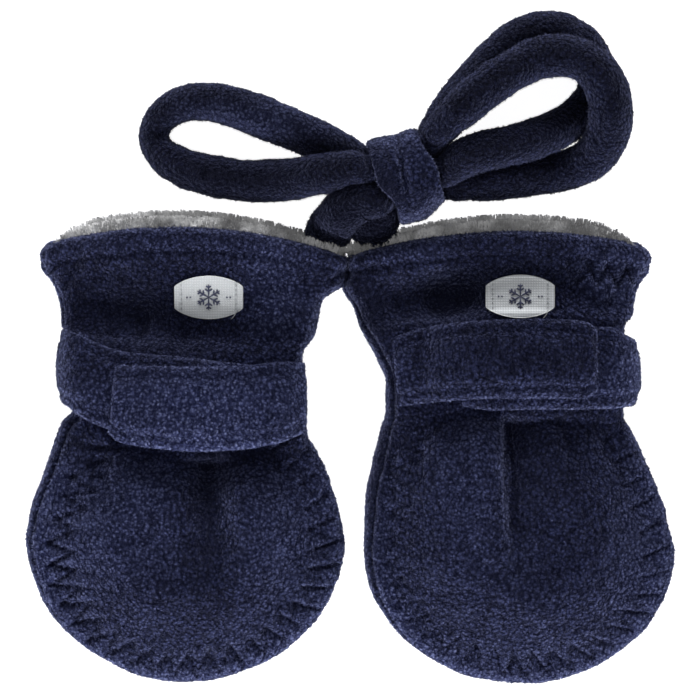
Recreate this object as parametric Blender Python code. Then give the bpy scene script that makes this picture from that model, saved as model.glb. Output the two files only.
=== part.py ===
"""A pair of thumbless baby mittens in fleece with a pile lining, laid flat and joined by a knotted cord.

The frame is the table they lie on: X runs across the pair, Y up from the tips to the cuffs and the
cord, Z up from the table. Tables and helper functions work in millimetres, and the meshes are made
in metres.

Each mitten is four cloth walls on each other: back shell, back lining, front lining, front shell.
A wall is worked out along lines that run from the middle of the mitten (its spine) to its edge:
straight across from the mouth to the widest place, and like a fan round the tip. At the edge the
shells turn round a soft rim, and meet at a seam that is rolled up round that rim.
"""

import math
from collections import namedtuple

import bmesh
import bpy
from mathutils.bvhtree import BVHTree

MM = 0.001

# Cloth, in millimetres
SHELL = 2.4  # wall of the fleece shells
SEAM_GAP = 0.3  # between pieces that touch
LINING_GAP = 0.5  # between the two linings, which lie on each other
RIM = 4.0  # radius that the outside of the side seam is turned to
PUFF = 26.0  # how far in from the rim the front rises to its full height
FLAT_FROM = 9.0  # how far in from the rim the back lies down on the table
STRAP = 3.2  # thickness of the strap, two layers of fleece
STRAP_SEAT = 0.38  # between the strap and what it lies on
LABEL = 0.8  # thickness
LABEL_SEAT = 0.42  # between the label and the shell
CORD = 11.4  # diameter of the cord where nothing squeezes it

# How far each layer reaches past the front shell at the mouth, which shows the pile as a strip
MOUTH_REACH = {"front_shell": 0.0, "front_lining": 1.7, "back_lining": 3.3, "back_shell": 2.4}

FAN_LINES = 14  # lines round the tip
FRONT_STEPS = (0.0, 0.085, 0.24, 0.5, 0.78, 1.0)  # places from the spine to the rim
BACK_STEPS = (0.0, 0.3, 0.65, 1.0)

# Cross sections of a mitten from its mouth to its widest place. left_x and right_x are the edges.
# left_y, middle_y and right_y bow the section. top and bottom are the heights of the front and the
# back, seam is the height of the side seam, and left_roll and right_roll are how many degrees the
# seam is rolled up round the rim.
Section = namedtuple(
    "Section", "name left_x right_x left_y middle_y right_y top bottom seam left_roll right_roll"
)

LEFT_SECTIONS = (
    Section("mouth", -83.0, -2.4, 56.4, 60.7, 52.8, 12.4, 0.0, 5.8, 20, 10),
    Section("mouth corner", -85.7, -1.6, 52.6, 57.0, 50.6, 13.2, 0.0, 6.0, 20, 10),
    Section("hem", -85.0, -2.0, 49.2, 53.2, 47.5, 13.5, 0.0, 6.0, 20, 10),
    Section("hem stitch", -82.2, -3.2, 45.2, 48.6, 44.8, 12.6, 0.0, 6.0, 20, 10),
    Section("cuff", -80.6, -8.0, 39.6, 41.0, 37.8, 11.9, 0.0, 6.2, 25, 5),
    Section("cuff foot", -79.5, -10.6, 34.6, 31.4, 30.2, 11.9, 1.6, 7.0, 30, 0),
    Section("strap top", -76.6, -12.9, 31.8, 25.4, 24.8, 12.9, 3.6, 8.0, 40, 0),
    Section("strap foot", -76.6, -12.2, 11.0, -2.4, 3.6, 12.9, 3.6, 8.0, 60, 0),
    Section("below strap", -79.4, -10.4, 7.6, -6.8, 0.8, 14.6, 2.0, 7.4, 65, 0),
    Section("palm top", -84.5, -6.4, -6.4, -12.6, -7.4, 16.8, 0.0, 6.8, 68, 0),
    Section("palm", -88.1, -3.4, -16.4, -19.0, -16.4, 17.4, 0.0, 6.4, 65, 0),
    Section("widest", -89.5, -1.6, -24.5, -24.5, -24.5, 17.2, 0.0, 6.2, 58, 0),
)

RIGHT_SECTIONS = (
    Section("mouth", 0.2, 79.2, 53.0, 59.6, 56.0, 12.4, 0.0, 5.8, 20, 10),
    Section("mouth corner", -0.9, 82.5, 50.4, 55.9, 52.2, 13.2, 0.0, 6.0, 20, 10),
    Section("hem", -1.4, 82.0, 47.3, 52.1, 48.6, 13.5, 0.0, 6.0, 20, 10),
    Section("hem stitch", -2.4, 79.3, 44.4, 48.0, 45.2, 12.6, 0.0, 6.0, 20, 10),
    Section("cuff", 0.8, 78.0, 38.6, 42.8, 40.8, 11.9, 0.0, 6.2, 25, 5),
    Section("cuff foot", 2.4, 77.3, 33.4, 38.6, 36.4, 12.0, 1.6, 7.0, 40, 0),
    Section("strap top", 3.6, 75.1, 30.8, 36.3, 33.6, 12.9, 3.6, 8.0, 50, 0),
    Section("strap middle", 9.5, 75.1, 17.8, 21.6, 21.2, 12.9, 3.6, 8.0, 60, 0),
    Section("strap foot", 9.3, 75.1, 9.8, 8.9, 9.2, 12.9, 3.6, 8.0, 65, 0),
    Section("below strap", 8.0, 77.2, 5.4, 4.6, 5.0, 14.6, 2.0, 7.4, 68, 0),
    Section("palm top", 6.0, 81.3, -4.4, -5.0, -4.8, 16.8, 0.0, 6.8, 70, 0),
    Section("palm", 4.0, 85.5, -14.0, -14.4, -14.4, 17.4, 0.0, 6.4, 70, 0),
    Section("widest", 3.4, 88.9, -27.5, -27.5, -27.5, 17.2, 0.0, 6.2, 60, 0),
)

# Folds in the front shell, from (top_x, top_y) down to (foot_x, foot_y), where they have run out.
# side is 0 for a hollow that is even on both sides, and 1 for a tuck that drops off to the right.
Fold = namedtuple("Fold", "top_x top_y foot_x foot_y depth width side")

# A shallow hollow that the strap pulls into the cuff, round a place and as far as its two reaches.
Dip = namedtuple("Dip", "x y reach_x reach_y depth")

# The strap's pieces, by places along them. low and high are the y of the two edges.
Place = namedtuple("Place", "x low high")
Turn = namedtuple("Turn", "low high")  # the same, where the strap turns round the outer side

Strap = namedtuple("Strap", "tab tab_slant tab_corner lap lap_end turn under under_end")

# The cord. width is the diameter at a step, and z is the height of the middle. A hold is where a
# stretch goes into an end of the knot, at a place across its face and up from the table.
Knot = namedtuple("Knot", "x y angle half_length half_height height left_trim right_trim")
Step = namedtuple("Step", "x y z width")
Hold = namedtuple("Hold", "end across up width")

Mitten = namedtuple(
    "Mitten", "name sections spine_x tip_length outer folds dip strap label_x label_y"
)

LEFT_STRAP = Strap(
    tab=(
        Place(-65.1, 4.3, 22.7),
        Place(-62.0, 1.9, 22.8),
        Place(-55.3, 0.5, 22.7),
        Place(-41.5, -0.6, 22.5),
        Place(-28.0, 0.1, 22.8),
        Place(-19.0, 2.0, 23.8),
        Place(-14.2, 4.4, 23.5),
    ),
    tab_slant=1.6,
    tab_corner=1.6,
    lap=(
        Place(-72.6, 8.2, 29.6),
        Place(-68.0, 6.0, 27.9),
        Place(-62.0, 4.4, 26.5),
        Place(-51.2, 3.3, 25.6),
        Place(-38.8, 3.2, 24.2),
        Place(-21.5, 4.4, 22.2),
    ),
    lap_end=-21.5,
    turn=Turn(12.6, 30.6),
    under=(
        Place(-72.6, 12.0, 29.6),
        Place(-45.0, 8.0, 26.5),
        Place(-19.0, 6.5, 23.5),
    ),
    under_end=-19.0,
)

RIGHT_STRAP = Strap(
    tab=(
        Place(12.0, 11.6, 30.0),
        Place(15.5, 11.9, 31.6),
        Place(19.5, 12.4, 32.7),
        Place(27.0, 13.1, 34.2),
        Place(36.9, 13.7, 35.1),
        Place(50.6, 13.8, 35.4),
        Place(60.0, 13.7, 35.1),
        Place(67.1, 13.6, 34.4),
    ),
    tab_slant=-2.4,
    tab_corner=4.6,
    lap=(
        Place(30.0, 11.6, 30.5),
        Place(38.2, 10.5, 32.0),
        Place(50.6, 10.7, 32.8),
        Place(62.0, 10.7, 33.4),
        Place(70.8, 10.9, 33.2),
    ),
    lap_end=30.0,
    turn=Turn(11.7, 30.0),
    under=(
        Place(70.8, 12.4, 30.4),
        Place(45.0, 12.0, 31.0),
        Place(17.0, 11.6, 29.5),
    ),
    under_end=17.0,
)

LEFT = Mitten(
    "left",
    LEFT_SECTIONS,
    spine_x=-37.5,
    tip_length=39.4,
    outer=-1,
    folds=(Fold(-38.9, -2.0, -35.0, -46.0, 3.2, 6.0, 0),),
    dip=Dip(-50.0, 32.0, 22.0, 8.5, 2.2),
    strap=LEFT_STRAP,
    label_x=-38.9,
    label_y=41.3,
)
RIGHT = Mitten(
    "right",
    RIGHT_SECTIONS,
    spine_x=41.4,
    tip_length=37.3,
    outer=1,
    folds=(Fold(40.4, 9.8, 43.4, -38.0, 3.6, 2.4, 1),),
    dip=Dip(27.0, 41.0, 17.0, 7.5, 2.0),
    strap=RIGHT_STRAP,
    label_x=46.2,
    label_y=41.6,
)

LABEL_LENGTH = 18.8
LABEL_MIDDLE_HEIGHT = 11.8
LABEL_END_HEIGHT = 5.8

KNOT = Knot(15.2, 74.3, 15.0, 8.2, 11.7, 18.0, left_trim=3.4, right_trim=2.2)

# The cord starts on the left cuff and ends on the right one. Its stretches, in that order, are the
# left tail, the upper loop, the left loop, the front loop and the right tail.
LEFT_TAIL = (
    Hold(-1, -3.2, 12.9, 8.2),
    Step(4.2, 67.4, 11.7, 8.8),
    Step(-0.3, 65.6, 9.4, 10.2),
    Step(-3.4, 63.3, 7.4, 11.4),
    Step(-5.5, 60.6, 6.2, 12.0),
    Step(-7.0, 56.8, 5.9, 11.6),
)
RIGHT_TAIL = (
    Hold(-1, -5.2, 4.1, 7.2),
    Step(9.4, 64.9, 4.5, 8.2),
    Step(8.9, 62.2, 4.8, 8.6),
    Step(8.3, 60.0, 4.7, 8.6),
)
UPPER_LOOP = (
    Hold(1, 6.4, 4.2, 7.6),
    Step(23.0, 87.0, 4.7, 9.0),
    Step(27.2, 92.4, 5.4, 10.8),
    Step(34.4, 101.4, 5.9, 11.4),
    Step(41.5, 108.8, 5.9, 11.4),
    Step(48.1, 113.2, 5.9, 11.4),
    Step(54.6, 114.6, 5.9, 11.4),
    Step(60.6, 112.8, 5.9, 11.4),
    Step(65.4, 108.6, 5.8, 11.2),
    Step(67.6, 103.2, 5.6, 10.8),
    Step(67.0, 97.8, 5.4, 10.4),
    Step(64.0, 93.1, 5.8, 10.2),
    Step(60.0, 89.6, 7.6, 10.4),
    Step(55.4, 86.8, 10.0, 10.8),
    Step(48.6, 84.2, 12.0, 11.0),
    Step(40.6, 82.0, 13.4, 11.0),
    Step(32.2, 79.8, 14.0, 10.8),
    Hold(1, -1.2, 12.8, 8.2),
)
LEFT_LOOP = (
    Hold(-1, 6.4, 4.4, 8.0),
    Step(0.2, 80.2, 4.9, 9.6),
    Step(-8.2, 84.2, 5.6, 11.0),
    Step(-19.1, 88.9, 5.9, 11.4),
    Step(-29.4, 93.0, 5.9, 11.2),
    Step(-38.6, 95.2, 5.6, 10.6),
    Step(-46.6, 94.6, 5.2, 9.8),
    Step(-52.4, 90.9, 4.6, 8.6),
    Step(-54.4, 85.6, 4.3, 8.0),
    Step(-51.6, 80.4, 4.9, 9.2),
    Step(-43.6, 76.2, 5.6, 10.8),
    Step(-31.0, 73.7, 5.9, 11.4),
    Step(-17.6, 73.9, 7.2, 11.4),
    Step(-7.0, 75.2, 11.2, 11.0),
    Step(0.0, 76.5, 13.6, 9.6),
    Hold(-1, 4.6, 13.2, 8.0),
)
FRONT_LOOP = (
    Hold(1, 6.9, 13.1, 6.8),
    Step(24.2, 86.8, 14.6, 8.8),
    Step(29.2, 91.8, 16.9, 10.4),
    Step(35.8, 97.6, 17.0, 11.0),
    Step(43.4, 102.8, 16.4, 11.2),
    Step(51.4, 106.3, 15.6, 11.4),
    Step(59.4, 106.6, 16.4, 11.4),
    Step(65.6, 103.6, 17.5, 11.4),
    Step(69.2, 98.2, 17.2, 11.6),
    Step(70.6, 91.6, 16.0, 11.8),
    Step(69.6, 84.8, 12.4, 11.8),
    Step(65.4, 79.2, 8.2, 11.4),
    Step(58.6, 76.4, 5.8, 11.0),
    Step(50.4, 74.8, 5.5, 10.8),
    Step(40.4, 73.8, 5.4, 10.6),
    Step(30.6, 72.8, 5.0, 9.6),
    Hold(1, -4.6, 4.3, 8.0),
)
CORD_STEP = 0.57  # spacing of the points along the cord, in diameters
CORD_END = 2.4  # length of the short stretch at each end of a route
KNOT_SEAT = 0.7  # between the knot and what goes into it

FLEECE = ("navy fleece", (0.016, 0.020, 0.047), 0.95)
STRAP_FLEECE = ("navy fleece strap", (0.019, 0.023, 0.052), 0.95)
CORD_FLEECE = ("navy fleece cord", (0.012, 0.015, 0.032), 0.95)
PILE = ("grey pile", (0.44, 0.45, 0.46), 1.0)
WOVEN = ("woven label", (0.45, 0.48, 0.52), 0.7)


# Curves and steps


def ease(t):
    """0 to 1 with a soft start and end."""
    t = min(max(t, 0.0), 1.0)
    return t * t * (3.0 - 2.0 * t)


def smooth(values, at):
    """The value at a fractional place in a list, on a smooth curve that never overshoots. Before the
    list's start it goes straight on."""
    if at < 0.0:
        return values[0] + (values[1] - values[0]) * at
    i = min(max(int(at), 0), len(values) - 2)
    t = at - i
    steps = [values[k + 1] - values[k] for k in range(len(values) - 1)]

    def slope(k):
        if k <= 0:
            return steps[0]
        if k >= len(steps):
            return steps[-1]
        before, after = steps[k - 1], steps[k]
        return 2.0 * before * after / (before + after) if before * after > 0.0 else 0.0

    start, end = values[i], values[i + 1]
    a, b = slope(i), slope(i + 1)
    return (
        start * (2 * t**3 - 3 * t**2 + 1)
        + a * (t**3 - 2 * t**2 + t)
        + end * (3 * t**2 - 2 * t**3)
        + b * (t**3 - t**2)
    )


def section_at(mitten, at):
    """The cross section at a fractional place in the mitten's list."""
    columns = list(zip(*[s[1:] for s in mitten.sections]))
    return Section("between", *[smooth(column, at) for column in columns])


def edges_at(places, x):
    """(low, high) of a strap's edges at x."""
    xs = [place.x for place in places]
    order = 1.0 if xs[-1] > xs[0] else -1.0
    at = 0.0
    for k in range(len(xs) - 1):
        span = (xs[k + 1] - xs[k]) * order
        at = k + min(max((x - xs[k]) * order / span, 0.0), 1.0)
        if (x - xs[k + 1]) * order <= 0.0:
            break
    return smooth([p.low for p in places], at), smooth([p.high for p in places], at)


# The mitten's form


def bow(section, x):
    """The y of a bowed section at x."""
    n = 2.0 * (x - section.left_x) / (section.right_x - section.left_x) - 1.0
    lean = (section.right_y - section.left_y) / 2.0
    sag = (section.right_y + section.left_y) / 2.0 - section.middle_y
    return section.middle_y + lean * n + sag * n * n


def fold_depth(mitten, x, y):
    """How far the folds and the dip let the front shell down at a place."""
    dip = mitten.dip
    depth = dip.depth * math.exp(-(((x - dip.x) / dip.reach_x) ** 2) - ((y - dip.y) / dip.reach_y) ** 2)
    for fold in mitten.folds:
        down = (fold.top_y - y) / (fold.top_y - fold.foot_y)
        along = ease((fold.top_y - y) / 4.0) * (1.0 - ease((down - 0.1) / 0.9))
        off = x - (fold.top_x + (fold.foot_x - fold.top_x) * min(max(down, 0.0), 1.0))
        if fold.side:
            across = ease((off + 0.6) / fold.width) * math.exp(-max(0.0, off - fold.width) / 10.0)
            across -= 0.25 * math.exp(-(((off + 4.0) / 5.0) ** 2))
        else:
            across = math.exp(-((off / fold.width) ** 2))
        depth += fold.depth * along * across
    return depth


class Line:
    """One line from the spine to the edge. dx, dy is its direction where it is straight, as in the
    fan, and a section gives its y where it runs across."""

    def __init__(self, mitten, section, edge, spine, roll, bowed):
        self.mitten = mitten
        self.section = section
        self.edge = edge
        self.spine = spine
        self.roll = roll
        self.bowed = bowed
        self.length = abs(edge[0] - spine[0]) if bowed else math.dist(edge, spine)

    def place(self, d):
        """(x, y) at the distance d in from the edge."""
        t = d / self.length
        x = self.edge[0] + (self.spine[0] - self.edge[0]) * t
        if self.bowed:
            return x, bow(self.section, x)
        return x, self.edge[1] + (self.spine[1] - self.edge[1]) * t

    def front(self, d, layer):
        """Height of the front at d from the edge, a layer's depth inside the cloth."""
        s = self.section
        x, y = self.place(d)
        rise = (s.top - s.seam - RIM) * ease((d - RIM) / min(PUFF, self.length - RIM))
        return s.seam + RIM - layer + rise - fold_depth(self.mitten, x, y)

    def back(self, d, layer):
        s = self.section
        drop = (s.seam - s.bottom - RIM) * ease((d - RIM) / min(FLAT_FROM, self.length - RIM))
        return s.seam - RIM + layer - drop

    def middle(self, d):
        """Height of the plane where the two linings lie on each other."""
        s = self.section
        lift = (s.top + s.bottom) / 2.0 - s.seam
        return s.seam + lift * ease((d - SHELL) / min(PUFF, self.length - SHELL))

    def rim(self, angle, layer):
        """(x, y, z) on the rim, at an angle up from level."""
        turn = math.radians(angle)
        d = RIM - (RIM - layer) * math.cos(turn)
        x, y = self.place(d)
        return x, y, self.section.seam + (RIM - layer) * math.sin(turn)

    def distances(self, steps):
        return [self.length - (self.length - RIM) * step for step in steps]


def lines_of(mitten, reach):
    """The lines from the mouth's left corner round the tip to its right corner."""
    lines = []
    start = section_at(mitten, -reach / (mitten.sections[0].middle_y - mitten.sections[1].middle_y))
    sections = (start, *mitten.sections[1:])
    widest = sections[-1]
    for side in ("left", "right"):
        run = []
        for section in sections:
            edge_x = section.left_x if side == "left" else section.right_x
            roll = section.left_roll if side == "left" else section.right_roll
            edge = (edge_x, bow(section, edge_x))
            spine = (mitten.spine_x, bow(section, mitten.spine_x))
            run.append(Line(mitten, section, edge, spine, roll, True))
        lines.append(run)
    middle_x = (widest.left_x + widest.right_x) / 2.0
    half = (widest.right_x - widest.left_x) / 2.0
    hub = (mitten.spine_x, widest.left_y)
    fan = []
    for k in range(1, FAN_LINES):
        t = k / FAN_LINES
        angle = math.pi * (1.0 + t)
        edge = (
            middle_x + half * math.cos(angle),
            widest.left_y + mitten.tip_length * math.sin(angle),
        )
        roll = widest.left_roll * (1.0 - ease(t * 2.2)) + widest.right_roll * ease(t)
        fan.append(Line(mitten, widest, edge, hub, roll, False))
    return lines[0] + fan + lines[1][::-1]


def panel_faces(mitten, lines, columns):
    """Faces between the lines, and which points are shared: the spine's by the lines of the left and
    the right, and the hub's by the fan."""
    rows = len(mitten.sections)
    count = len(lines)
    keys = {}
    index = []
    for j in range(count):
        row = []
        for c in range(columns):
            if c == 0:
                key = ("spine", min(j, count - 1 - j, rows - 1))
            else:
                key = (j, c)
            row.append(keys.setdefault(key, len(keys)))
        index.append(row)
    faces = []
    for j in range(count - 1):
        for c in range(columns - 1):
            ring = [index[j][c], index[j][c + 1], index[j + 1][c + 1], index[j + 1][c]]
            face = [p for k, p in enumerate(ring) if p != ring[k - 1]]
            faces.append(face)
    return index, faces, len(keys)


def slab(name, upper, lower, faces, finish):
    """A closed wall between two sheets of points that share the same faces, given as seen from above
    and counter-clockwise."""
    mesh = bpy.data.meshes.new(name)
    shape = bmesh.new()
    tops = [shape.verts.new([v * MM for v in p]) for p in upper]
    bottoms = [shape.verts.new([v * MM for v in p]) for p in lower]
    used = {}
    for face in faces:
        shape.faces.new([tops[i] for i in face])
        shape.faces.new([bottoms[i] for i in reversed(face)])
        for k, i in enumerate(face):
            used[(face[k - 1], i)] = True
    for a, b in used:
        if (b, a) not in used:
            shape.faces.new([tops[b], tops[a], bottoms[a], bottoms[b]])
    bmesh.ops.recalc_face_normals(shape, faces=shape.faces[:])
    bmesh.ops.triangulate(shape, faces=shape.faces[:])
    shape.to_mesh(mesh)
    shape.free()
    mesh.shade_smooth()
    mesh.set_sharp_from_angle(angle=math.radians(50))
    obj = bpy.data.objects.new(name, mesh)
    bpy.context.collection.objects.link(obj)
    obj.data.materials.append(material(finish))
    return obj


def material(finish):
    """The material of that name, made the first time that it is asked for."""
    name, colour, roughness = finish
    found = bpy.data.materials.get(name)
    if found:
        return found
    made = bpy.data.materials.new(name)
    made.use_nodes = True
    shader = made.node_tree.nodes["Principled BSDF"]
    shader.inputs["Base Color"].default_value = (*colour, 1.0)
    shader.inputs["Roughness"].default_value = roughness
    shader.inputs["Metallic"].default_value = 0.0
    return made


def panel(mitten, part, outside, inside, finish):
    """One cloth wall. outside and inside give a line's points from the spine to the edge."""
    lines = lines_of(mitten, MOUTH_REACH[part])
    outer = [outside(line) for line in lines]
    inner = [inside(line) for line in lines]
    columns = len(outer[0])
    index, faces, count = panel_faces(mitten, lines, columns)
    sheets = []
    for rows in (outer, inner):
        points = [None] * count
        for row, places in zip(rows, index):
            for point, i in zip(row, places):
                points[i] = point
        sheets.append(points)
    if sum(p[2] for p in sheets[0]) < sum(p[2] for p in sheets[1]):
        sheets.reverse()
    return slab(f"{mitten.name}_{part}", sheets[0], sheets[1], faces, finish)


def seam_angle(line, radius, side):
    """The rolled seam's angle, kept half a gap away from the other shell."""
    return line.roll + side * math.degrees(math.asin(SEAM_GAP / 2.0 / radius))


def front_shell(mitten):
    def points(layer):
        def along(line):
            inner = [(*line.place(d), line.front(d, layer)) for d in line.distances(FRONT_STEPS)]
            end = seam_angle(line, RIM - layer, 1)
            turn = [90.0 + (end - 90.0) * k / 3.0 for k in (1, 2, 3)]
            return inner + [line.rim(angle, layer) for angle in turn]

        return along

    return panel(mitten, "front_shell", points(0.0), points(SHELL), FLEECE)


def back_shell(mitten):
    def points(layer):
        def along(line):
            inner = [(*line.place(d), line.back(d, layer)) for d in line.distances(BACK_STEPS)]
            end = seam_angle(line, RIM - layer, -1)
            turn = [-90.0 + (end + 90.0) * k / 5.0 for k in (1, 2, 3, 4, 5)]
            return inner + [line.rim(angle, layer) for angle in turn]

        return along

    return panel(mitten, "back_shell", points(0.0), points(SHELL), FLEECE)


def front_lining(mitten):
    layer = SHELL + SEAM_GAP

    def outside(line):
        inner = [(*line.place(d), line.front(d, layer)) for d in line.distances(FRONT_STEPS)]
        return inner + [line.rim(angle, layer) for angle in (60.0, 30.0)]

    def inside(line):
        at = line.distances(FRONT_STEPS)
        at += [RIM - (RIM - layer) * math.cos(math.radians(angle)) for angle in (60.0, 30.0)]
        return [(*line.place(d), line.middle(d) + LINING_GAP / 2.0) for d in at]

    return panel(mitten, "front_lining", outside, inside, PILE)


def back_lining(mitten):
    layer = SHELL + SEAM_GAP

    def outside(line):
        inner = [(*line.place(d), line.back(d, layer)) for d in line.distances(BACK_STEPS)]
        return inner + [line.rim(angle, layer) for angle in (-60.0, -30.0)]

    def inside(line):
        at = line.distances(BACK_STEPS)
        at += [RIM - (RIM - layer) * math.cos(math.radians(angle)) for angle in (60.0, 30.0)]
        return [(*line.place(d), line.middle(d) - LINING_GAP / 2.0) for d in at]

    return panel(mitten, "back_lining", outside, inside, PILE)


# The strap and the label, which lie on the front


def front_height(mitten, x, y):
    """Height of the front shell's outside at a place between its mouth and its widest section."""
    low, high = 0.0, len(mitten.sections) - 1.0
    for _ in range(24):
        at = (low + high) / 2.0
        if bow(section_at(mitten, at), x) > y:
            low = at
        else:
            high = at
    section = section_at(mitten, low)
    edge_x = section.left_x if x < mitten.spine_x else section.right_x
    line = Line(mitten, section, (edge_x, y), (mitten.spine_x, y), 0.0, True)
    d = (x - edge_x) * (1.0 if x < mitten.spine_x else -1.0)
    if d >= RIM:
        return line.front(d, 0.0)
    return section.seam + math.sqrt(max(RIM**2 - (RIM - max(d, 0.3)) ** 2, 0.0))


RAILS = (0.0, 0.045, 0.14, 0.5, 0.86, 0.955, 1.0)  # places across a strap
RAIL_THICKNESS = (0.42, 0.8, 1.0, 1.0, 1.0, 0.8, 0.42)


def grid_faces(rows, columns):
    def index(r, c):
        return r * columns + c

    return [
        [index(r, c), index(r, c + 1), index(r + 1, c + 1), index(r + 1, c)]
        for r in range(rows - 1)
        for c in range(columns - 1)
    ]


def band(name, stations, finish, rails=RAILS, thicknesses=RAIL_THICKNESS):
    """A band of cloth. Each station gives, for each place across, its middle, the way out from what
    it lies on, and its half thickness."""
    outer, inner = [], []
    for station in stations:
        for place, thickness in zip(rails, thicknesses):
            middle, out, half = station(place)
            half *= thickness
            outer.append([m + o * half for m, o in zip(middle, out)])
            inner.append([m - o * half for m, o in zip(middle, out)])
    faces = grid_faces(len(stations), len(rails))
    return slab(name, outer, inner, faces, finish)


def corner_inset(distance, radius):
    """How far a rounded corner stands in from the edge, near a band's end."""
    if distance >= radius:
        return 0.0
    return radius - math.sqrt(radius**2 - (radius - distance) ** 2)


def lap_lift(mitten, x):
    """How far the underlap lifts the tab at x: nothing past the underlap's end."""
    inwards = (x - mitten.strap.lap_end) * mitten.outer
    return (STRAP + STRAP_SEAT) * ease((inwards + 7.0) / 6.0)


def slope_out(mitten, x, y, lift):
    """The unit direction out of the front, across the mitten."""
    step = 0.4
    rise = front_height(mitten, x + step, y) - front_height(mitten, x - step, y)
    rise += lift(x + step) - lift(x - step)
    slope = max(-1.2, min(1.2, rise / (2.0 * step)))
    size = math.hypot(1.0, slope)
    return (-slope / size, 0.0, 1.0 / size)


def on_front(mitten, places, x, end_x, corner, slant, lift, thin=1.0):
    """A band's station on the front of the mitten at x."""

    def station(place):
        low, high = edges_at(places, x)
        inset = corner_inset(abs(x - end_x), corner) if corner else 0.0
        low, high = low + inset, high - inset
        y = low + (high - low) * place
        near = max(0.0, 1.0 - abs(x - end_x) / 12.0) if slant else 0.0
        at_x = x + slant * (place - 0.5) * near
        out = slope_out(mitten, at_x, y, lift)
        away = STRAP_SEAT + STRAP / 2.0
        z = front_height(mitten, at_x, y) + lift(at_x)
        middle = (at_x + out[0] * away, y, z + out[2] * away)
        return middle, out, STRAP / 2.0 * thin

    return station


def spaced(start, end, step):
    count = max(1, round(abs(end - start) / step))
    return [start + (end - start) * k / count for k in range(count + 1)]


def tab(mitten):
    """The strap's tab: from the inner side seam over the underlap, to its free end."""
    strap = mitten.strap
    free = strap.tab[0].x if mitten.outer < 0 else strap.tab[-1].x
    sewn = strap.tab[-1].x if mitten.outer < 0 else strap.tab[0].x
    towards = 1.0 if sewn > free else -1.0

    def lift(x):
        return lap_lift(mitten, x)

    ends = [free, free + towards * 0.35, free + towards * 1.4, free + towards * 3.4]
    middle = spaced(free + towards * 6.5, sewn - towards * 4.0, 5.2)
    rim = [sewn - towards * 2.4, sewn - towards * 1.1, sewn]
    stations = []
    for x in ends + middle + rim:
        thin = 0.55 if x == free else 0.9 if x == ends[1] else 1.0
        near_end = abs(x - sewn) < 14.0
        slant = strap.tab_slant if near_end == (mitten.outer > 0) else 0.0
        corner = strap.tab_corner if abs(x - free) < strap.tab_corner else 0.0
        end_x = free if not near_end else sewn
        stations.append(on_front(mitten, strap.tab, x, end_x, corner, slant, lift, thin))
    return band(f"{mitten.name}_strap_tab", stations, STRAP_FLEECE)


def lap(mitten):
    """The strap's back stretch: under the wrist, round the outer side, and onto the front, where its
    end is the underlap."""
    strap = mitten.strap
    side = mitten.outer
    wrist = mitten.sections[6]
    edge_x = wrist.left_x if side < 0 else wrist.right_x
    hub_x = edge_x - side * RIM
    away = STRAP_SEAT + STRAP / 2.0

    def under(x):
        def station(place):
            low, high = edges_at(strap.under, x)
            z = wrist.bottom - away
            return (x, low + (high - low) * place, z), (0.0, 0.0, -1.0), STRAP / 2.0

        return station

    def turned(angle):
        share = (math.sin(angle) + 1.0) / 2.0
        bulge = math.cos(angle)
        start = edges_at(strap.under, hub_x)
        end = edges_at(strap.lap, hub_x)

        def station(place):
            low = (start[0] * (1 - share) + end[0] * share) * (1 - bulge) + strap.turn.low * bulge
            high = (start[1] * (1 - share) + end[1] * share) * (1 - bulge) + strap.turn.high * bulge
            out = (side * math.cos(angle), 0.0, math.sin(angle))
            x = hub_x + out[0] * (RIM + away)
            z = wrist.seam + out[2] * (RIM + away)
            return (x, low + (high - low) * place, z), out, STRAP / 2.0

        return station

    def flat(x):
        return 0.0

    stations = [under(x) for x in spaced(strap.under_end, hub_x + side * -1.0, 9.0)]
    stations += [turned(math.radians(angle)) for angle in range(-90, 91, 30)]
    for x in spaced(hub_x - side * 2.5, strap.lap_end + side * 1.2, 6.5):
        stations.append(on_front(mitten, strap.lap, x, x, 0.0, 0.0, flat))
    stations.append(on_front(mitten, strap.lap, strap.lap_end, 0.0, 0.0, 0.0, flat, 0.55))
    return band(f"{mitten.name}_strap_underlap", stations, STRAP_FLEECE)


def label(mitten, shell):
    """A barrel-shaped woven label with straight ends, laid on the shell's own surface."""
    shape = bmesh.new()
    shape.from_mesh(shell.data)
    surface = BVHTree.FromBMesh(shape)
    half = LABEL_LENGTH / 2.0
    rows, rails = 8, (0.0, 0.25, 0.5, 0.75, 1.0)

    def station(x):
        t = (x - mitten.label_x) / half
        tall = LABEL_END_HEIGHT + (LABEL_MIDDLE_HEIGHT - LABEL_END_HEIGHT) * max(1.0 - t * t, 0.0) ** 0.8

        def at(place):
            y = mitten.label_y + tall * (place - 0.5)
            hit = surface.ray_cast((x * MM, y * MM, 0.1), (0.0, 0.0, -1.0))[0]
            z = hit.z / MM + LABEL_SEAT + LABEL / 2.0
            return (x, y, z), (0.0, 0.0, 1.0), LABEL / 2.0

        return at

    stations = [station(mitten.label_x - half + LABEL_LENGTH * k / rows) for k in range(rows + 1)]
    made = band(f"{mitten.name}_label", stations, WOVEN, rails, (1.0,) * len(rails))
    shape.free()
    return made


# The cord


def spline_value(before, a, b, after, t):
    """A place between a and b on a smooth curve through four values."""
    turn = 2.0 * before - 5.0 * a + 4.0 * b - after
    twist = 3.0 * a - before - 3.0 * b + after
    return 0.5 * (2.0 * a + (b - before) * t + turn * t**2 + twist * t**3)


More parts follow.
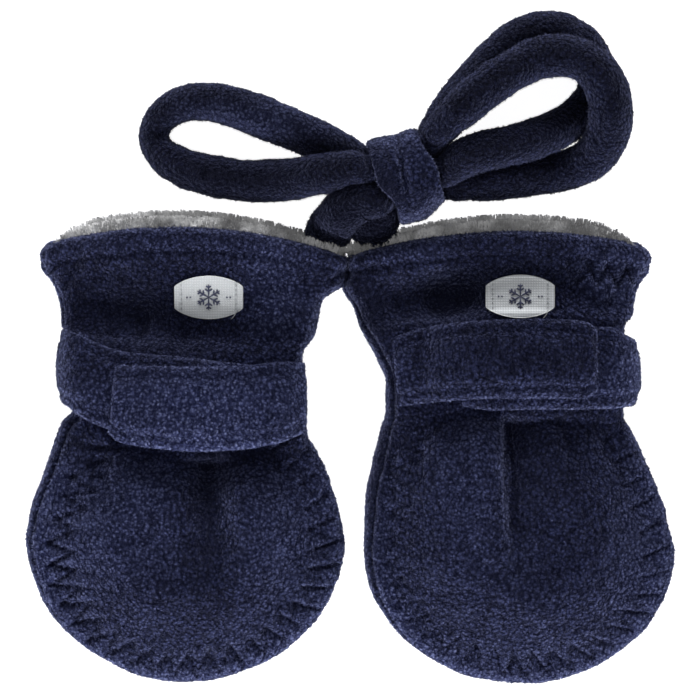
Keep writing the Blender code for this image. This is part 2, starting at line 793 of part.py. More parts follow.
def route_points(route):
    """Points along a smooth curve through a route's steps, evenly spaced but for a short stretch at
    each end, which sets the way that the end faces."""
    dense = []
    for k in range(len(route) - 1):
        before = route[max(k - 1, 0)]
        a, b = route[k], route[k + 1]
        after = route[min(k + 2, len(route) - 1)]
        for j in range(12):
            dense.append([spline_value(*values, j / 12) for values in zip(before, a, b, after)])
    dense.append(list(route[-1]))
    lengths = [0.0]
    for a, b in zip(dense, dense[1:]):
        lengths.append(lengths[-1] + math.dist(a[:3], b[:3]))
    inner = lengths[-1] - 2.0 * CORD_END
    count = max(1, round(inner / (CORD_STEP * CORD)))
    targets = [0.0, *[CORD_END + inner * j / count for j in range(count + 1)], lengths[-1]]
    points = []
    k = 0
    for target in targets:
        while k < len(lengths) - 2 and lengths[k + 1] < target:
            k += 1
        t = (target - lengths[k]) / (lengths[k + 1] - lengths[k])
        x, y, z, width = [a + (b - a) * t for a, b in zip(dense[k], dense[k + 1])]
        points.append((x, y, max(z, width / 2.0 + 0.02), width))
    return points


def cord(name, route):
    curve = bpy.data.curves.new(name, "CURVE")
    curve.dimensions = "3D"
    curve.bevel_depth = CORD / 2.0 * MM
    curve.bevel_resolution = 2
    curve.use_fill_caps = True
    spline = curve.splines.new("POLY")
    steps = list(route)
    if isinstance(steps[0], Hold):
        steps[:1] = hold_steps(steps[0])
    if isinstance(steps[-1], Hold):
        steps[-1:] = reversed(hold_steps(steps[-1]))
    points = route_points(steps)
    spline.points.add(len(points) - 1)
    for point, (x, y, z, width) in zip(spline.points, points):
        point.co = (x * MM, y * MM, z * MM, 1.0)
        point.radius = width / CORD
    obj = bpy.data.objects.new(name, curve)
    bpy.context.collection.objects.link(obj)
    obj.data.materials.append(material(CORD_FLEECE))
    return obj


# The knot's band from one end to the other: place along it, and the share of its full size
KNOT_RINGS = (
    (-1.0, 0.76),
    (-0.92, 0.88),
    (-0.7, 0.96),
    (0.0, 1.0),
    (0.7, 0.96),
    (0.92, 0.88),
    (1.0, 0.76),
)
KNOT_SIDES = 16
KNOT_SQUARENESS = 0.8


def on_knot(along, across, up):
    """A place in the knot's own directions: along its band, across it, and up from the table. The
    trims set back a part of each end, where stretches leave it slantwise."""
    turn = math.radians(KNOT.angle)
    half = KNOT.half_length
    if along < 0.0:
        half -= KNOT.left_trim * ease((0.5 - across) / 8.5)
    else:
        half -= KNOT.right_trim * ease((across + 0.5) / 8.5)
    forward = along * half
    x = KNOT.x + forward * math.cos(turn) - across * math.sin(turn)
    y = KNOT.y + forward * math.sin(turn) + across * math.cos(turn)
    return x, y, up


def hold_steps(hold):
    """Two steps straight out from the knot's end: just clear of it, and at a stretch's short end."""
    x, y, z = on_knot(hold.end, hold.across, hold.up)
    low = on_knot(hold.end, hold.across - 1.5, hold.up)
    high = on_knot(hold.end, hold.across + 1.5, hold.up)
    run = math.dist(low, high)
    out_x = (high[1] - low[1]) / run * hold.end
    out_y = (low[0] - high[0]) / run * hold.end
    steps = []
    for out in (KNOT_SEAT, KNOT_SEAT + CORD_END):
        steps.append(Step(x + out_x * out, y + out_y * out, z, hold.width + (out - KNOT_SEAT) * 0.4))
    return steps


def knot_ring(along, share):
    """Points round the knot's band at a place along it. Its underside is flattened by the table."""
    points = []
    for k in range(KNOT_SIDES):
        angle = 2.0 * math.pi * (k + 0.5) / KNOT_SIDES
        c, s = math.cos(angle), math.sin(angle)
        across = math.copysign(abs(c) ** KNOT_SQUARENESS, c) * KNOT.half_height * share
        up = math.copysign(abs(s) ** KNOT_SQUARENESS, s) * KNOT.height / 2.0 * share
        points.append(on_knot(along, across, KNOT.height / 2.0 + up))
    return points


def knot():
    shape = bmesh.new()
    rings = []
    for along, share in KNOT_RINGS:
        rings.append([shape.verts.new([v * MM for v in p]) for p in knot_ring(along, share)])
    for a, b in zip(rings, rings[1:]):
        for k in range(KNOT_SIDES):
            shape.faces.new([a[k - 1], a[k], b[k], b[k - 1]])
    for ring in (rings[0], rings[-1]):
        for k in range(KNOT_SIDES // 2 - 1):
            shape.faces.new([ring[k], ring[k + 1], ring[-k - 2], ring[-k - 1]])
    bmesh.ops.recalc_face_normals(shape, faces=shape.faces[:])
    mesh = bpy.data.meshes.new("cord_knot")
    shape.to_mesh(mesh)
    shape.free()
    mesh.shade_smooth()
    mesh.set_sharp_from_angle(angle=math.radians(50))
    obj = bpy.data.objects.new("cord_knot", mesh)
    bpy.context.collection.objects.link(obj)
    obj.data.materials.append(material(CORD_FLEECE))
    return obj


def main():
    for obj in list(bpy.data.objects):
        bpy.data.objects.remove(obj, do_unlink=True)
    for mitten in (LEFT, RIGHT):
        back_shell(mitten)
        back_lining(mitten)
        front_lining(mitten)
        shell = front_shell(mitten)
        lap(mitten)
        tab(mitten)
        label(mitten, shell)
    cord("cord_tail_left", LEFT_TAIL)
    cord("cord_tail_right", RIGHT_TAIL)
    cord("cord_loop_left", LEFT_LOOP)
    cord("cord_loop_upper", UPPER_LOOP)
    cord("cord_loop_front", FRONT_LOOP)
    knot()


main()
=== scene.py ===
"""The looks of a pair of thumbless fleece baby mittens, laid flat and joined by a knotted cord.

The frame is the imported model's: X runs across the pair, Y up from the tips to the cuffs and the cord,
Z up from the table. Tables and helper functions work in millimetres, and meshes are made in metres.

The shells, linings, straps and cord follow the named sections, places and routes that the solids are
made from, on a finer grid, and get what the solids leave out: the sunken zigzag stitching, the swells
between the stitches, rolled edges, small creases, the nap, the pile and the labels' thread.
"""

import math
from collections import namedtuple

import bpy
import numpy as np
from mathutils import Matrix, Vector, noise


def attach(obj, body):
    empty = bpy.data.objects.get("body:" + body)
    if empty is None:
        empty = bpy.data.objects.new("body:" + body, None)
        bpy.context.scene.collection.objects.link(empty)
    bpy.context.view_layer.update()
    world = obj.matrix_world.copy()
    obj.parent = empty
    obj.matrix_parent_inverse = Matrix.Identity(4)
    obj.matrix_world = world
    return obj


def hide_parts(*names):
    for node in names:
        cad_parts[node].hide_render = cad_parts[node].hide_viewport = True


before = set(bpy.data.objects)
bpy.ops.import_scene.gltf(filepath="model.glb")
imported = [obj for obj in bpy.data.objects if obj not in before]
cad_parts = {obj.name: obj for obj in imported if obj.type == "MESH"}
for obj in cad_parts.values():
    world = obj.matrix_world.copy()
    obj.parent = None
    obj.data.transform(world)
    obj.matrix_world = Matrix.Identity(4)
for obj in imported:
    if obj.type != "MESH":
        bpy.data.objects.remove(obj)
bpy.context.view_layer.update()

MM = 0.001


# The mittens' form. It is the solids' form, except where those stand apart so that no two overlap:
# here the cuffs' inner corners reach up to 1.3 mm further towards each other, the left strap's turn
# up to 1 mm higher, and the cord's tails are up to 5 mm fuller.


SHELL = 2.4  # wall of the fleece shells
SEAM_GAP = 0.3
LINING_GAP = 0.5
RIM = 4.0  # radius that the outside of the side seam is turned to
PUFF = 26.0  # how far in from the rim the front rises to its full height
FLAT_FROM = 9.0
STRAP = 3.2
STRAP_SEAT = 0.38

MOUTH_REACH = {"front_shell": 0.0, "front_lining": 1.7, "back_lining": 3.3, "back_shell": 2.4}

Section = namedtuple(
    "Section", "name left_x right_x left_y middle_y right_y top bottom seam left_roll right_roll"
)

LEFT_SECTIONS = (
    Section("mouth", -83.0, -1.6, 56.4, 60.7, 52.8, 12.4, 0.0, 5.8, 20, 10),
    Section("mouth corner", -85.7, -0.4, 52.6, 57.0, 50.6, 13.2, 0.0, 6.0, 20, 10),
    Section("hem", -85.0, -0.7, 49.2, 53.2, 47.5, 13.5, 0.0, 6.0, 20, 10),
    Section("hem stitch", -82.2, -2.3, 45.2, 48.6, 44.4, 12.6, 0.0, 6.0, 20, 10),
    Section("cuff", -80.6, -7.4, 39.6, 41.0, 40.4, 11.9, 0.0, 6.2, 25, 5),
    Section("cuff foot", -79.7, -9.3, 33.4, 31.4, 31.4, 11.9, 1.6, 7.0, 30, 0),
    Section("strap top", -76.6, -12.9, 30.3, 25.4, 24.8, 12.9, 3.6, 8.0, 40, 0),
    Section("strap foot", -76.6, -12.2, 11.0, -2.4, 3.6, 12.9, 3.6, 8.0, 60, 0),
    Section("below strap", -79.4, -10.4, 7.6, -6.8, 0.8, 14.6, 2.0, 7.4, 65, 0),
    Section("palm top", -84.5, -6.4, -6.4, -12.6, -7.4, 16.8, 0.0, 6.8, 68, 0),
    Section("palm", -88.1, -3.4, -16.4, -19.0, -16.4, 17.4, 0.0, 6.4, 65, 0),
    Section("widest", -89.5, -1.6, -24.5, -24.5, -24.5, 17.2, 0.0, 6.2, 58, 0),
)

RIGHT_SECTIONS = (
    Section("mouth", -0.4, 79.2, 53.0, 59.6, 56.0, 12.4, 0.0, 5.8, 20, 10),
    Section("mouth corner", -1.2, 82.5, 50.4, 55.9, 52.2, 13.2, 0.0, 6.0, 20, 10),
    Section("hem", -1.4, 82.0, 47.3, 52.1, 48.6, 13.5, 0.0, 6.0, 20, 10),
    Section("hem stitch", -2.4, 79.3, 44.4, 48.0, 45.2, 12.6, 0.0, 6.0, 20, 10),
    Section("cuff", 0.8, 78.0, 38.6, 42.8, 40.8, 11.9, 0.0, 6.2, 25, 5),
    Section("cuff foot", 2.4, 77.3, 33.4, 38.6, 36.4, 12.0, 1.6, 7.0, 40, 0),
    Section("strap top", 3.6, 75.1, 30.8, 36.3, 33.6, 12.9, 3.6, 8.0, 50, 0),
    Section("strap middle", 9.5, 75.1, 17.8, 21.6, 21.2, 12.9, 3.6, 8.0, 60, 0),
    Section("strap foot", 9.3, 75.1, 9.8, 8.9, 9.2, 12.9, 3.6, 8.0, 65, 0),
    Section("below strap", 8.0, 77.2, 5.4, 4.6, 5.0, 14.6, 2.0, 7.4, 68, 0),
    Section("palm top", 6.0, 81.3, -4.4, -5.0, -4.8, 16.8, 0.0, 6.8, 70, 0),
    Section("palm", 4.0, 85.5, -14.0, -14.4, -14.4, 17.4, 0.0, 6.4, 70, 0),
    Section("widest", 3.4, 88.9, -27.5, -27.5, -27.5, 17.2, 0.0, 6.2, 60, 0),
)

Fold = namedtuple("Fold", "top_x top_y foot_x foot_y depth width side")
Dip = namedtuple("Dip", "x y reach_x reach_y depth")
Place = namedtuple("Place", "x low high")
Turn = namedtuple("Turn", "low high")
Strap = namedtuple("Strap", "tab tab_slant tab_corner lap lap_end turn under under_end")
Knot = namedtuple("Knot", "x y angle half_length half_height height left_trim right_trim")
Step = namedtuple("Step", "x y z width")
Hold = namedtuple("Hold", "end across up width")
Mitten = namedtuple(
    "Mitten", "name sections spine_x tip_length outer folds dip strap label_x label_y creases"
)

# Soft creases of the front, from one place to another: hollows where depth is above 0, and ridges
# where it is below.
Crease = namedtuple("Crease", "x1 y1 x2 y2 depth width")

LEFT_STRAP = Strap(
    tab=(
        Place(-65.1, 4.3, 22.7),
        Place(-62.0, 1.9, 22.8),
        Place(-55.3, 0.5, 22.7),
        Place(-41.5, -0.6, 22.5),
        Place(-28.0, 0.1, 22.8),
        Place(-19.0, 2.0, 23.8),
        Place(-14.2, 4.4, 23.5),
    ),
    tab_slant=1.6,
    tab_corner=1.6,
    lap=(
        Place(-72.6, 8.2, 30.6),
        Place(-68.0, 6.0, 28.3),
        Place(-62.0, 4.4, 26.5),
        Place(-51.2, 3.3, 25.6),
        Place(-38.8, 3.2, 24.2),
        Place(-21.5, 4.4, 22.2),
    ),
    lap_end=-21.5,
    turn=Turn(12.2, 32.8),
    under=(
        Place(-72.6, 12.0, 29.6),
        Place(-45.0, 8.0, 26.5),
        Place(-19.0, 6.5, 23.5),
    ),
    under_end=-19.0,
)

RIGHT_STRAP = Strap(
    tab=(
        Place(12.0, 11.6, 30.0),
        Place(15.5, 11.9, 31.6),
        Place(19.5, 12.4, 32.7),
        Place(27.0, 13.1, 34.2),
        Place(36.9, 13.7, 35.1),
        Place(50.6, 13.8, 35.4),
        Place(60.0, 13.7, 35.1),
        Place(67.1, 13.6, 34.4),
    ),
    tab_slant=-2.4,
    tab_corner=4.6,
    lap=(
        Place(30.0, 11.6, 30.5),
        Place(38.2, 10.5, 32.0),
        Place(50.6, 10.7, 32.8),
        Place(62.0, 10.7, 33.4),
        Place(70.8, 10.9, 33.2),
    ),
    lap_end=30.0,
    turn=Turn(11.7, 30.0),
    under=(
        Place(70.8, 12.4, 30.4),
        Place(45.0, 12.0, 31.0),
        Place(17.0, 11.6, 29.5),
    ),
    under_end=17.0,
)

LEFT = Mitten(
    "left",
    LEFT_SECTIONS,
    spine_x=-37.5,
    tip_length=39.4,
    outer=-1,
    folds=(Fold(-38.9, -2.0, -35.0, -46.0, 3.2, 6.0, 0),),
    dip=Dip(-50.0, 32.0, 22.0, 8.5, 2.2),
    strap=LEFT_STRAP,
    label_x=-38.9,
    label_y=41.3,
    creases=(
        Crease(-39.4, 6.0, -38.9, -7.0, 1.2, 7.0),
        Crease(-38.4, -8.0, -36.4, -44.0, 0.6, 4.6),
        Crease(-34.0, 2.0, -20.0, 1.4, 0.9, 2.6),
        Crease(-70.0, 2.0, -66.0, -14.0, 0.9, 2.8),
        Crease(-22.0, 2.0, -19.0, -8.0, 0.7, 2.2),
        Crease(-57.0, 0.0, -55.0, -10.0, 0.6, 2.4),
        Crease(-66.0, 27.0, -68.0, 44.0, 0.9, 2.6),
        Crease(-58.0, 27.0, -56.0, 40.0, 0.8, 2.4),
        Crease(-47.0, 25.0, -44.0, 34.0, 0.7, 2.4),
        Crease(-76.0, 31.0, -79.0, 44.0, 0.7, 1.6),
        Crease(-6.6, 45.2, -1.9, 48.3, 0.9, 0.9),
        Crease(-78.0, 44.0, -74.0, 54.0, 0.8, 1.3),
        Crease(-68.0, 35.0, -48.0, 38.0, 1.9, 7.0),
        Crease(-26.0, 34.0, -14.0, 38.0, -1.7, 6.0),
        Crease(-20.0, 27.0, -16.0, 40.0, 0.7, 2.4),
        Crease(-12.0, 28.0, -7.0, 40.0, 0.6, 1.6),
    ),
)
RIGHT = Mitten(
    "right",
    RIGHT_SECTIONS,
    spine_x=41.4,
    tip_length=37.3,
    outer=1,
    folds=(Fold(40.4, 9.8, 43.4, -38.0, 3.6, 2.4, 1),),
    dip=Dip(27.0, 41.0, 17.0, 7.5, 2.0),
    strap=RIGHT_STRAP,
    label_x=46.2,
    label_y=41.6,
    creases=(
        Crease(42.4, 12.0, 43.6, -26.0, 1.4, 1.5),
        Crease(36.6, 8.0, 38.0, -34.0, -0.9, 5.0),
        Crease(56.0, 4.0, 62.0, -38.0, 1.3, 9.0),
        Crease(20.0, 6.0, 18.0, -6.0, 0.7, 2.4),
        Crease(12.5, 4.0, 9.5, -12.0, 0.8, 1.8),
        Crease(58.0, 8.0, 60.0, -3.0, 0.7, 2.2),
        Crease(68.0, 8.0, 72.0, -6.0, 0.8, 2.2),
        Crease(14.0, 35.0, 11.0, 47.0, 0.7, 2.4),
        Crease(24.0, 37.0, 22.0, 47.0, 0.8, 2.6),
        Crease(33.0, 38.0, 34.0, 46.0, 0.7, 2.4),
        Crease(60.0, 38.0, 61.0, 46.0, 0.6, 2.2),
        Crease(69.0, 37.0, 74.0, 44.0, 0.8, 1.8),
        Crease(6.0, 32.0, 2.0, 42.0, 0.6, 1.6),
        Crease(16.0, 38.0, 36.0, 42.0, 1.9, 6.5),
        Crease(44.0, 50.0, 46.0, 46.0, 0.9, 5.0),
        Crease(66.0, 40.0, 70.0, 47.0, -1.2, 5.5),
        Crease(76.0, 47.0, 72.0, 50.0, 0.6, 1.2),
    ),
)

LABEL_LENGTH = 18.8
LABEL_MIDDLE_HEIGHT = 11.8
LABEL_END_HEIGHT = 5.8

KNOT = Knot(15.2, 74.3, 15.0, 8.2, 11.7, 18.0, left_trim=3.4, right_trim=2.2)

# The cord runs from the left cuff to the right one: along the left tail, the upper loop, the left
# loop, the front loop and the right tail. Each tail is listed from the knot down to its cuff.
LEFT_TAIL = (
    Hold(-1, -3.2, 12.9, 8.2),
    Step(3.6, 68.0, 11.7, 11.0),
    Step(-1.0, 65.8, 9.4, 12.4),
    Step(-4.0, 62.8, 7.4, 12.6),
    Step(-6.0, 59.6, 6.2, 12.8),
    Step(-7.0, 55.4, 5.6, 12.4),
)
RIGHT_TAIL = (
    Hold(-1, -5.2, 4.1, 7.2),
    Step(8.4, 65.0, 4.6, 11.0),
    Step(7.0, 62.0, 4.9, 12.2),
    Step(5.2, 59.2, 4.9, 13.8),
    Step(3.2, 55.6, 4.7, 13.8),
)
UPPER_LOOP = (
    Hold(1, 6.4, 4.2, 7.6),
    Step(23.0, 87.0, 4.7, 9.0),
    Step(27.2, 92.4, 5.4, 10.8),
    Step(34.4, 101.4, 5.9, 11.4),
    Step(41.5, 108.8, 5.9, 11.4),
    Step(48.1, 113.2, 5.9, 11.4),
    Step(54.6, 114.6, 5.9, 11.4),
    Step(60.6, 112.8, 5.9, 11.4),
    Step(65.4, 108.6, 5.8, 11.2),
    Step(67.6, 103.2, 5.6, 10.8),
    Step(67.0, 97.8, 5.4, 10.4),
    Step(64.0, 93.1, 5.8, 10.2),
    Step(60.0, 89.6, 7.6, 10.4),
    Step(55.4, 86.8, 10.0, 10.8),
    Step(48.6, 84.2, 12.0, 11.0),
    Step(40.6, 82.0, 13.4, 11.0),
    Step(32.2, 79.8, 14.0, 10.8),
    Hold(1, -1.2, 12.8, 8.2),
)
LEFT_LOOP = (
    Hold(-1, 6.4, 4.4, 8.0),
    Step(0.2, 80.2, 4.9, 9.6),
    Step(-8.2, 84.2, 5.6, 11.0),
    Step(-19.1, 88.9, 5.9, 11.4),
    Step(-29.4, 93.0, 5.9, 11.2),
    Step(-38.6, 95.2, 5.6, 10.6),
    Step(-46.6, 94.6, 5.2, 9.8),
    Step(-52.4, 90.9, 4.6, 8.6),
    Step(-54.4, 85.6, 4.3, 8.0),
    Step(-51.6, 80.4, 4.9, 9.2),
    Step(-43.6, 76.2, 5.6, 10.8),
    Step(-31.0, 73.7, 5.9, 11.4),
    Step(-17.6, 73.9, 7.2, 11.4),
    Step(-7.0, 75.2, 11.2, 11.0),
    Step(0.0, 76.5, 13.6, 9.6),
    Hold(-1, 4.6, 13.2, 8.0),
)
FRONT_LOOP = (
    Hold(1, 6.9, 13.1, 6.8),
    Step(24.2, 86.8, 14.6, 8.8),
    Step(29.2, 91.8, 16.9, 10.4),
    Step(35.8, 97.6, 17.0, 11.0),
    Step(43.4, 102.8, 16.4, 11.2),
    Step(51.4, 106.3, 15.6, 11.4),
    Step(59.4, 106.6, 16.4, 11.4),
    Step(65.6, 103.6, 17.5, 11.4),
    Step(69.2, 98.2, 17.2, 11.6),
    Step(70.6, 91.6, 16.0, 11.8),
    Step(69.6, 84.8, 12.4, 11.8),
    Step(65.4, 79.2, 8.2, 11.4),
    Step(58.6, 76.4, 5.8, 11.0),
    Step(50.4, 74.8, 5.5, 10.8),
    Step(40.4, 73.8, 5.4, 10.6),
    Step(30.6, 72.8, 5.0, 9.6),
    Hold(1, -4.6, 4.3, 8.0),
)
CORD_END = 2.4
KNOT_SEAT = 0.7


# Curves, steps and unevenness


def ease(t):
    """0 to 1 with a soft start and end."""
    t = min(max(t, 0.0), 1.0)
    return t * t * (3.0 - 2.0 * t)


def hill(t):
    """1 at 0, falling softly to 0 on both sides."""
    return math.exp(-t * t)


def uneven(point, size, seed=0.0):
    """Smooth noise from about -1 to 1 at a place, whose lumps are about that size."""
    return noise.noise(Vector((point[0] / size + seed, point[1] / size - seed, point[2] / size)))


def inset(distance, radius):
    """How far a round corner or a rolled edge stands back, that far from its end."""
    if distance >= radius:
        return 0.0
    return radius - math.sqrt(max(radius**2 - (radius - distance) ** 2, 0.0))


def rounded(distance, radius, least):
    """How thick a padded piece is near a round edge, as a share of its full thickness. least is the
    square of the smallest share."""
    return math.sqrt(max(least, 1.0 - max(0.0, 1.0 - distance / radius) ** 2))


def steps_along(points):
    """The length of each step along a run of points."""
    return np.linalg.norm(np.diff(np.asarray(points, float), axis=0), axis=1)


def run_length(points):
    """The length of a run of points."""
    return float(steps_along(points).sum())


def between(start, start_slope, end, end_slope, t):
    """A place between two values on a smooth curve that has these slopes at them."""
    return (
        start * (2 * t**3 - 3 * t**2 + 1)
        + start_slope * (t**3 - 2 * t**2 + t)
        + end * (3 * t**2 - 2 * t**3)
        + end_slope * (t**3 - t**2)
    )


def smooth(values, at):
    """The value at a fractional place in a list, on a smooth curve that never overshoots. Before the
    list's start it goes straight on."""
    if at < 0.0:
        return values[0] + (values[1] - values[0]) * at
    i = min(max(int(at), 0), len(values) - 2)
    steps = [values[k + 1] - values[k] for k in range(len(values) - 1)]

    def slope(k):
        if k <= 0:
            return steps[0]
        if k >= len(steps):
            return steps[-1]
        before, after = steps[k - 1], steps[k]
        return 2.0 * before * after / (before + after) if before * after > 0.0 else 0.0

    return between(values[i], slope(i), values[i + 1], slope(i + 1), at - i)


def through(table, knots, at):
    """Rows of a table at new places, on a smooth curve through its rows."""
    table = np.asarray(table, float)
    knots = np.asarray(knots, float)
    slopes = np.gradient(table, knots, axis=0)
    k = np.clip(np.searchsorted(knots, at, side="right") - 1, 0, len(knots) - 2)
    span = (knots[k + 1] - knots[k]).reshape(-1, *[1] * (table.ndim - 1))
    t = (np.asarray(at) - knots[k]).reshape(span.shape) / span
    return between(table[k], slopes[k] * span, table[k + 1], slopes[k + 1] * span, t)


def section_at(mitten, at):
    """The cross section at a fractional place in the mitten's list."""
    columns = list(zip(*[s[1:] for s in mitten.sections]))
    return Section("between", *[smooth(column, at) for column in columns])


def edges_at(places, x):
    """(low, high) of a strap's edges at x."""
    xs = [place.x for place in places]
    order = 1.0 if xs[-1] > xs[0] else -1.0
    at = 0.0
    for k in range(len(xs) - 1):
        span = (xs[k + 1] - xs[k]) * order
        at = k + min(max((x - xs[k]) * order / span, 0.0), 1.0)
        if (x - xs[k + 1]) * order <= 0.0:
            break
    return smooth([p.low for p in places], at), smooth([p.high for p in places], at)


def bow(section, x):
    """The y of a bowed section at x."""
    n = 2.0 * (x - section.left_x) / (section.right_x - section.left_x) - 1.0
    lean = (section.right_y - section.left_y) / 2.0
    sag = (section.right_y + section.left_y) / 2.0 - section.middle_y
    return section.middle_y + lean * n + sag * n * n


def fold_depth(mitten, x, y):
    """How far the folds and the dip let the front shell down at a place."""
    dip = mitten.dip
    depth = dip.depth * hill((x - dip.x) / dip.reach_x) * hill((y - dip.y) / dip.reach_y)
    for fold in mitten.folds:
        down = (fold.top_y - y) / (fold.top_y - fold.foot_y)
        along = ease((fold.top_y - y) / 4.0) * (1.0 - ease((down - 0.1) / 0.9))
        off = x - (fold.top_x + (fold.foot_x - fold.top_x) * min(max(down, 0.0), 1.0))
        if fold.side:
            across = ease((off + 0.6) / fold.width) * math.exp(-max(0.0, off - fold.width) / 10.0)
            across -= 0.25 * hill((off + 4.0) / 5.0)
        else:
            across = hill(off / fold.width)
        depth += fold.depth * along * across
    return depth


# How far from the mouth's corners a layer reaches its full length past the mouth. The pile shows
# right up to the corner where the two mittens meet.
CORNER_TAPER = 13.0
MEETING_TAPER = 1.2
MEETING_SPREAD = 5.2  # how far the pile spreads to that corner once it is past the mouth


def at_mouth(mitten, x, y):
    """The y of a place, drawn back to the front shell's mouth near the corners."""
    mouth = mitten.sections[0]
    past = y - bow(mouth, x)
    if past <= 0.0:
        return y
    left, right = x - mouth.left_x, mouth.right_x - x
    if mitten.outer < 0:
        near = min(left / CORNER_TAPER, right / MEETING_TAPER)
    else:
        near = min(left / MEETING_TAPER, right / CORNER_TAPER)
    return y - past * 0.85 * (1.0 - ease(near))


def spread_at_meeting(mitten, x, y, z):
    """A place on the pile's ground, moved along the mouth to the corner where the two mittens meet."""
    mouth = mitten.sections[0]
    corner = mouth.right_x if mitten.outer < 0 else mouth.left_x
    past = ease((y - bow(mouth, x)) / 1.2)
    moved = x - mitten.outer * MEETING_SPREAD * past * ease(1.0 - abs(corner - x) / 12.0)
    return moved, y + bow(mouth, moved) - bow(mouth, x), z


class Line:
    """One line of a wall from the spine to the edge. along is how far round the edge it is, from the
    mouth's left corner, and below is how far it is below the mouth."""

    def __init__(self, mitten, section, edge, spine, roll, bowed, below):
        self.mitten = mitten
        self.section = section
        self.edge = edge
        self.spine = spine
        self.roll = roll
        self.bowed = bowed
        self.below = below
        self.along = 0.0
        self.length = abs(edge[0] - spine[0]) if bowed else math.dist(edge, spine)

    def place(self, d):
        """(x, y) at the distance d in from the edge."""
        t = d / self.length
        x = self.edge[0] + (self.spine[0] - self.edge[0]) * t
        if self.bowed:
            return x, at_mouth(self.mitten, x, bow(self.section, x))
        return x, self.edge[1] + (self.spine[1] - self.edge[1]) * t

    def front(self, d, layer):
        """Height of the front at d from the edge, a layer's depth inside the cloth."""
        s = self.section
        x, y = self.place(d)
        rise = (s.top - s.seam - RIM) * ease((d - RIM) / min(PUFF, self.length - RIM))
        return s.seam + RIM - layer + rise - fold_depth(self.mitten, x, y)

    def back(self, d, layer):
        """Height of the back at d from the edge, a layer's depth inside the cloth."""
        s = self.section
        drop = (s.seam - s.bottom - RIM) * ease((d - RIM) / min(FLAT_FROM, self.length - RIM))
        return s.seam - RIM + layer - drop

    def middle(self, d):
        """Height of the plane where the two linings lie on each other."""
        s = self.section
        lift = (s.top + s.bottom) / 2.0 - s.seam
        return s.seam + lift * ease((d - SHELL) / min(PUFF, self.length - SHELL))

    def rim(self, angle, layer):
        """(x, y, z) on the rim, at an angle up from level."""
        turn = math.radians(angle)
        d = RIM - (RIM - layer) * math.cos(turn)
        x, y = self.place(d)
        return x, y, self.section.seam + (RIM - layer) * math.sin(turn)


# Meshes


def shown(name, mesh, slot):
    """A shown piece at the origin, on the part's one body."""
    piece = bpy.data.objects.new(name, mesh)
    bpy.context.scene.collection.objects.link(piece)
    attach(piece, "root")
    return piece


def new_piece(name, verts, faces, material, slot):
    """A shown piece from points in millimetres."""
    mesh = bpy.data.meshes.new(name)
    mesh.from_pydata([[v * MM for v in p] for p in verts], [], faces)
    mesh.shade_smooth()
    mesh.materials.append(material)
    return shown(name, mesh, slot)


def grid_normals(grid):
    """Unit normals of a grid of points, across its rows and its columns."""
    rows = np.gradient(grid, axis=0)
    columns = np.gradient(grid, axis=1)
    normals = np.cross(rows, columns)
    sizes = np.linalg.norm(normals, axis=2, keepdims=True)
    normals = normals / np.maximum(sizes, 1e-9)
    normals[:, 0] = normals[:, 1]
    return normals


def mark(piece, name, values):
    """Write one number for each of the piece's points, which the nap and the materials read."""
    layer = piece.data.attributes.new(name, "FLOAT", "POINT")
    layer.data.foreach_set("value", np.asarray(values, np.float32))


def directions(points):
    """Unit vectors along a run of points."""
    ways = np.gradient(points, axis=0)
    return ways / np.linalg.norm(ways, axis=1, keepdims=True)


def around(ahead, sides):
    """Unit directions round a run, the first of them level."""
    side = np.cross(ahead, (0.0, 0.0, 1.0))
    side /= max(np.linalg.norm(side), 1e-6)
    over = np.cross(side, ahead)
    turns = [2.0 * math.pi * j / sides for j in range(sides)]
    return [side * math.cos(turn) + over * math.sin(turn) for turn in turns]


def ring_faces(rings, sides):
    """Faces from each ring of points to the next, and one over each end."""
    faces = []
    for k in range(rings - 1):
        for j in range(sides):
            a, b = k * sides + j, k * sides + (j + 1) % sides
            faces.append((b, a, a + sides, b + sides))
    faces.append(tuple(range(sides)))
    faces.append(tuple(reversed(range((rings - 1) * sides, rings * sides))))
    return faces


def grid_faces(index):
    """Faces over a grid of point numbers, with a number that comes twice in a face left out."""
    faces = []
    for a, b in zip(index, index[1:]):
        for c in range(len(a) - 1):
            ring = [a[c], a[c + 1], b[c + 1], b[c]]
            faces.append([p for k, p in enumerate(ring) if p != ring[k - 1]])
    return faces


def turn_out(piece):
    """Turn a closed mesh's faces out, if they point in."""
    mesh = piece.data
    mesh.calc_loop_triangles()
    volume = 0.0
    for triangle in mesh.loop_triangles:
        a, b, c = [mesh.vertices[i].co for i in triangle.vertices]
        volume += a.dot(b.cross(c))
    if volume < 0.0:
        mesh.flip_normals()


def plate(name, tops, bottoms, material, slot):
    """A closed plate from a grid of points on each of its sides."""
    columns = len(tops[0])
    index = [[r * columns + c for c in range(columns)] for r in range(len(tops))]
    shift = len(tops) * columns
    faces = grid_faces(index)
    faces += [[i + shift for i in reversed(face)] for face in faces]
    ring = index[0][::-1] + [row[0] for row in index[1:]]
    ring += index[-1][1:] + [row[-1] for row in index[-2:0:-1]]
    for a, b in zip(ring, ring[1:] + ring[:1]):
        faces.append([b, a, a + shift, b + shift])
    verts = [p for row in (*tops, *bottoms) for p in row]
    piece = new_piece(name, verts, faces, material, slot)
    turn_out(piece)
    return piece


THREAD_SIDES = 6
THREAD_END = 0.45  # how thin a thread's ends are, as a share of its width


def tube(points, radius):
    """(points, faces) of a thin round thread along a line, closed at both ends."""
    line = np.asarray(points, float)
    verts = []
    for k, (centre, ahead) in enumerate(zip(line, directions(line))):
        thin = THREAD_END if k in (0, len(line) - 1) else 1.0
        verts += [tuple(centre + out * radius * thin) for out in around(ahead, THREAD_SIDES)]
    return verts, ring_faces(len(line), THREAD_SIDES)


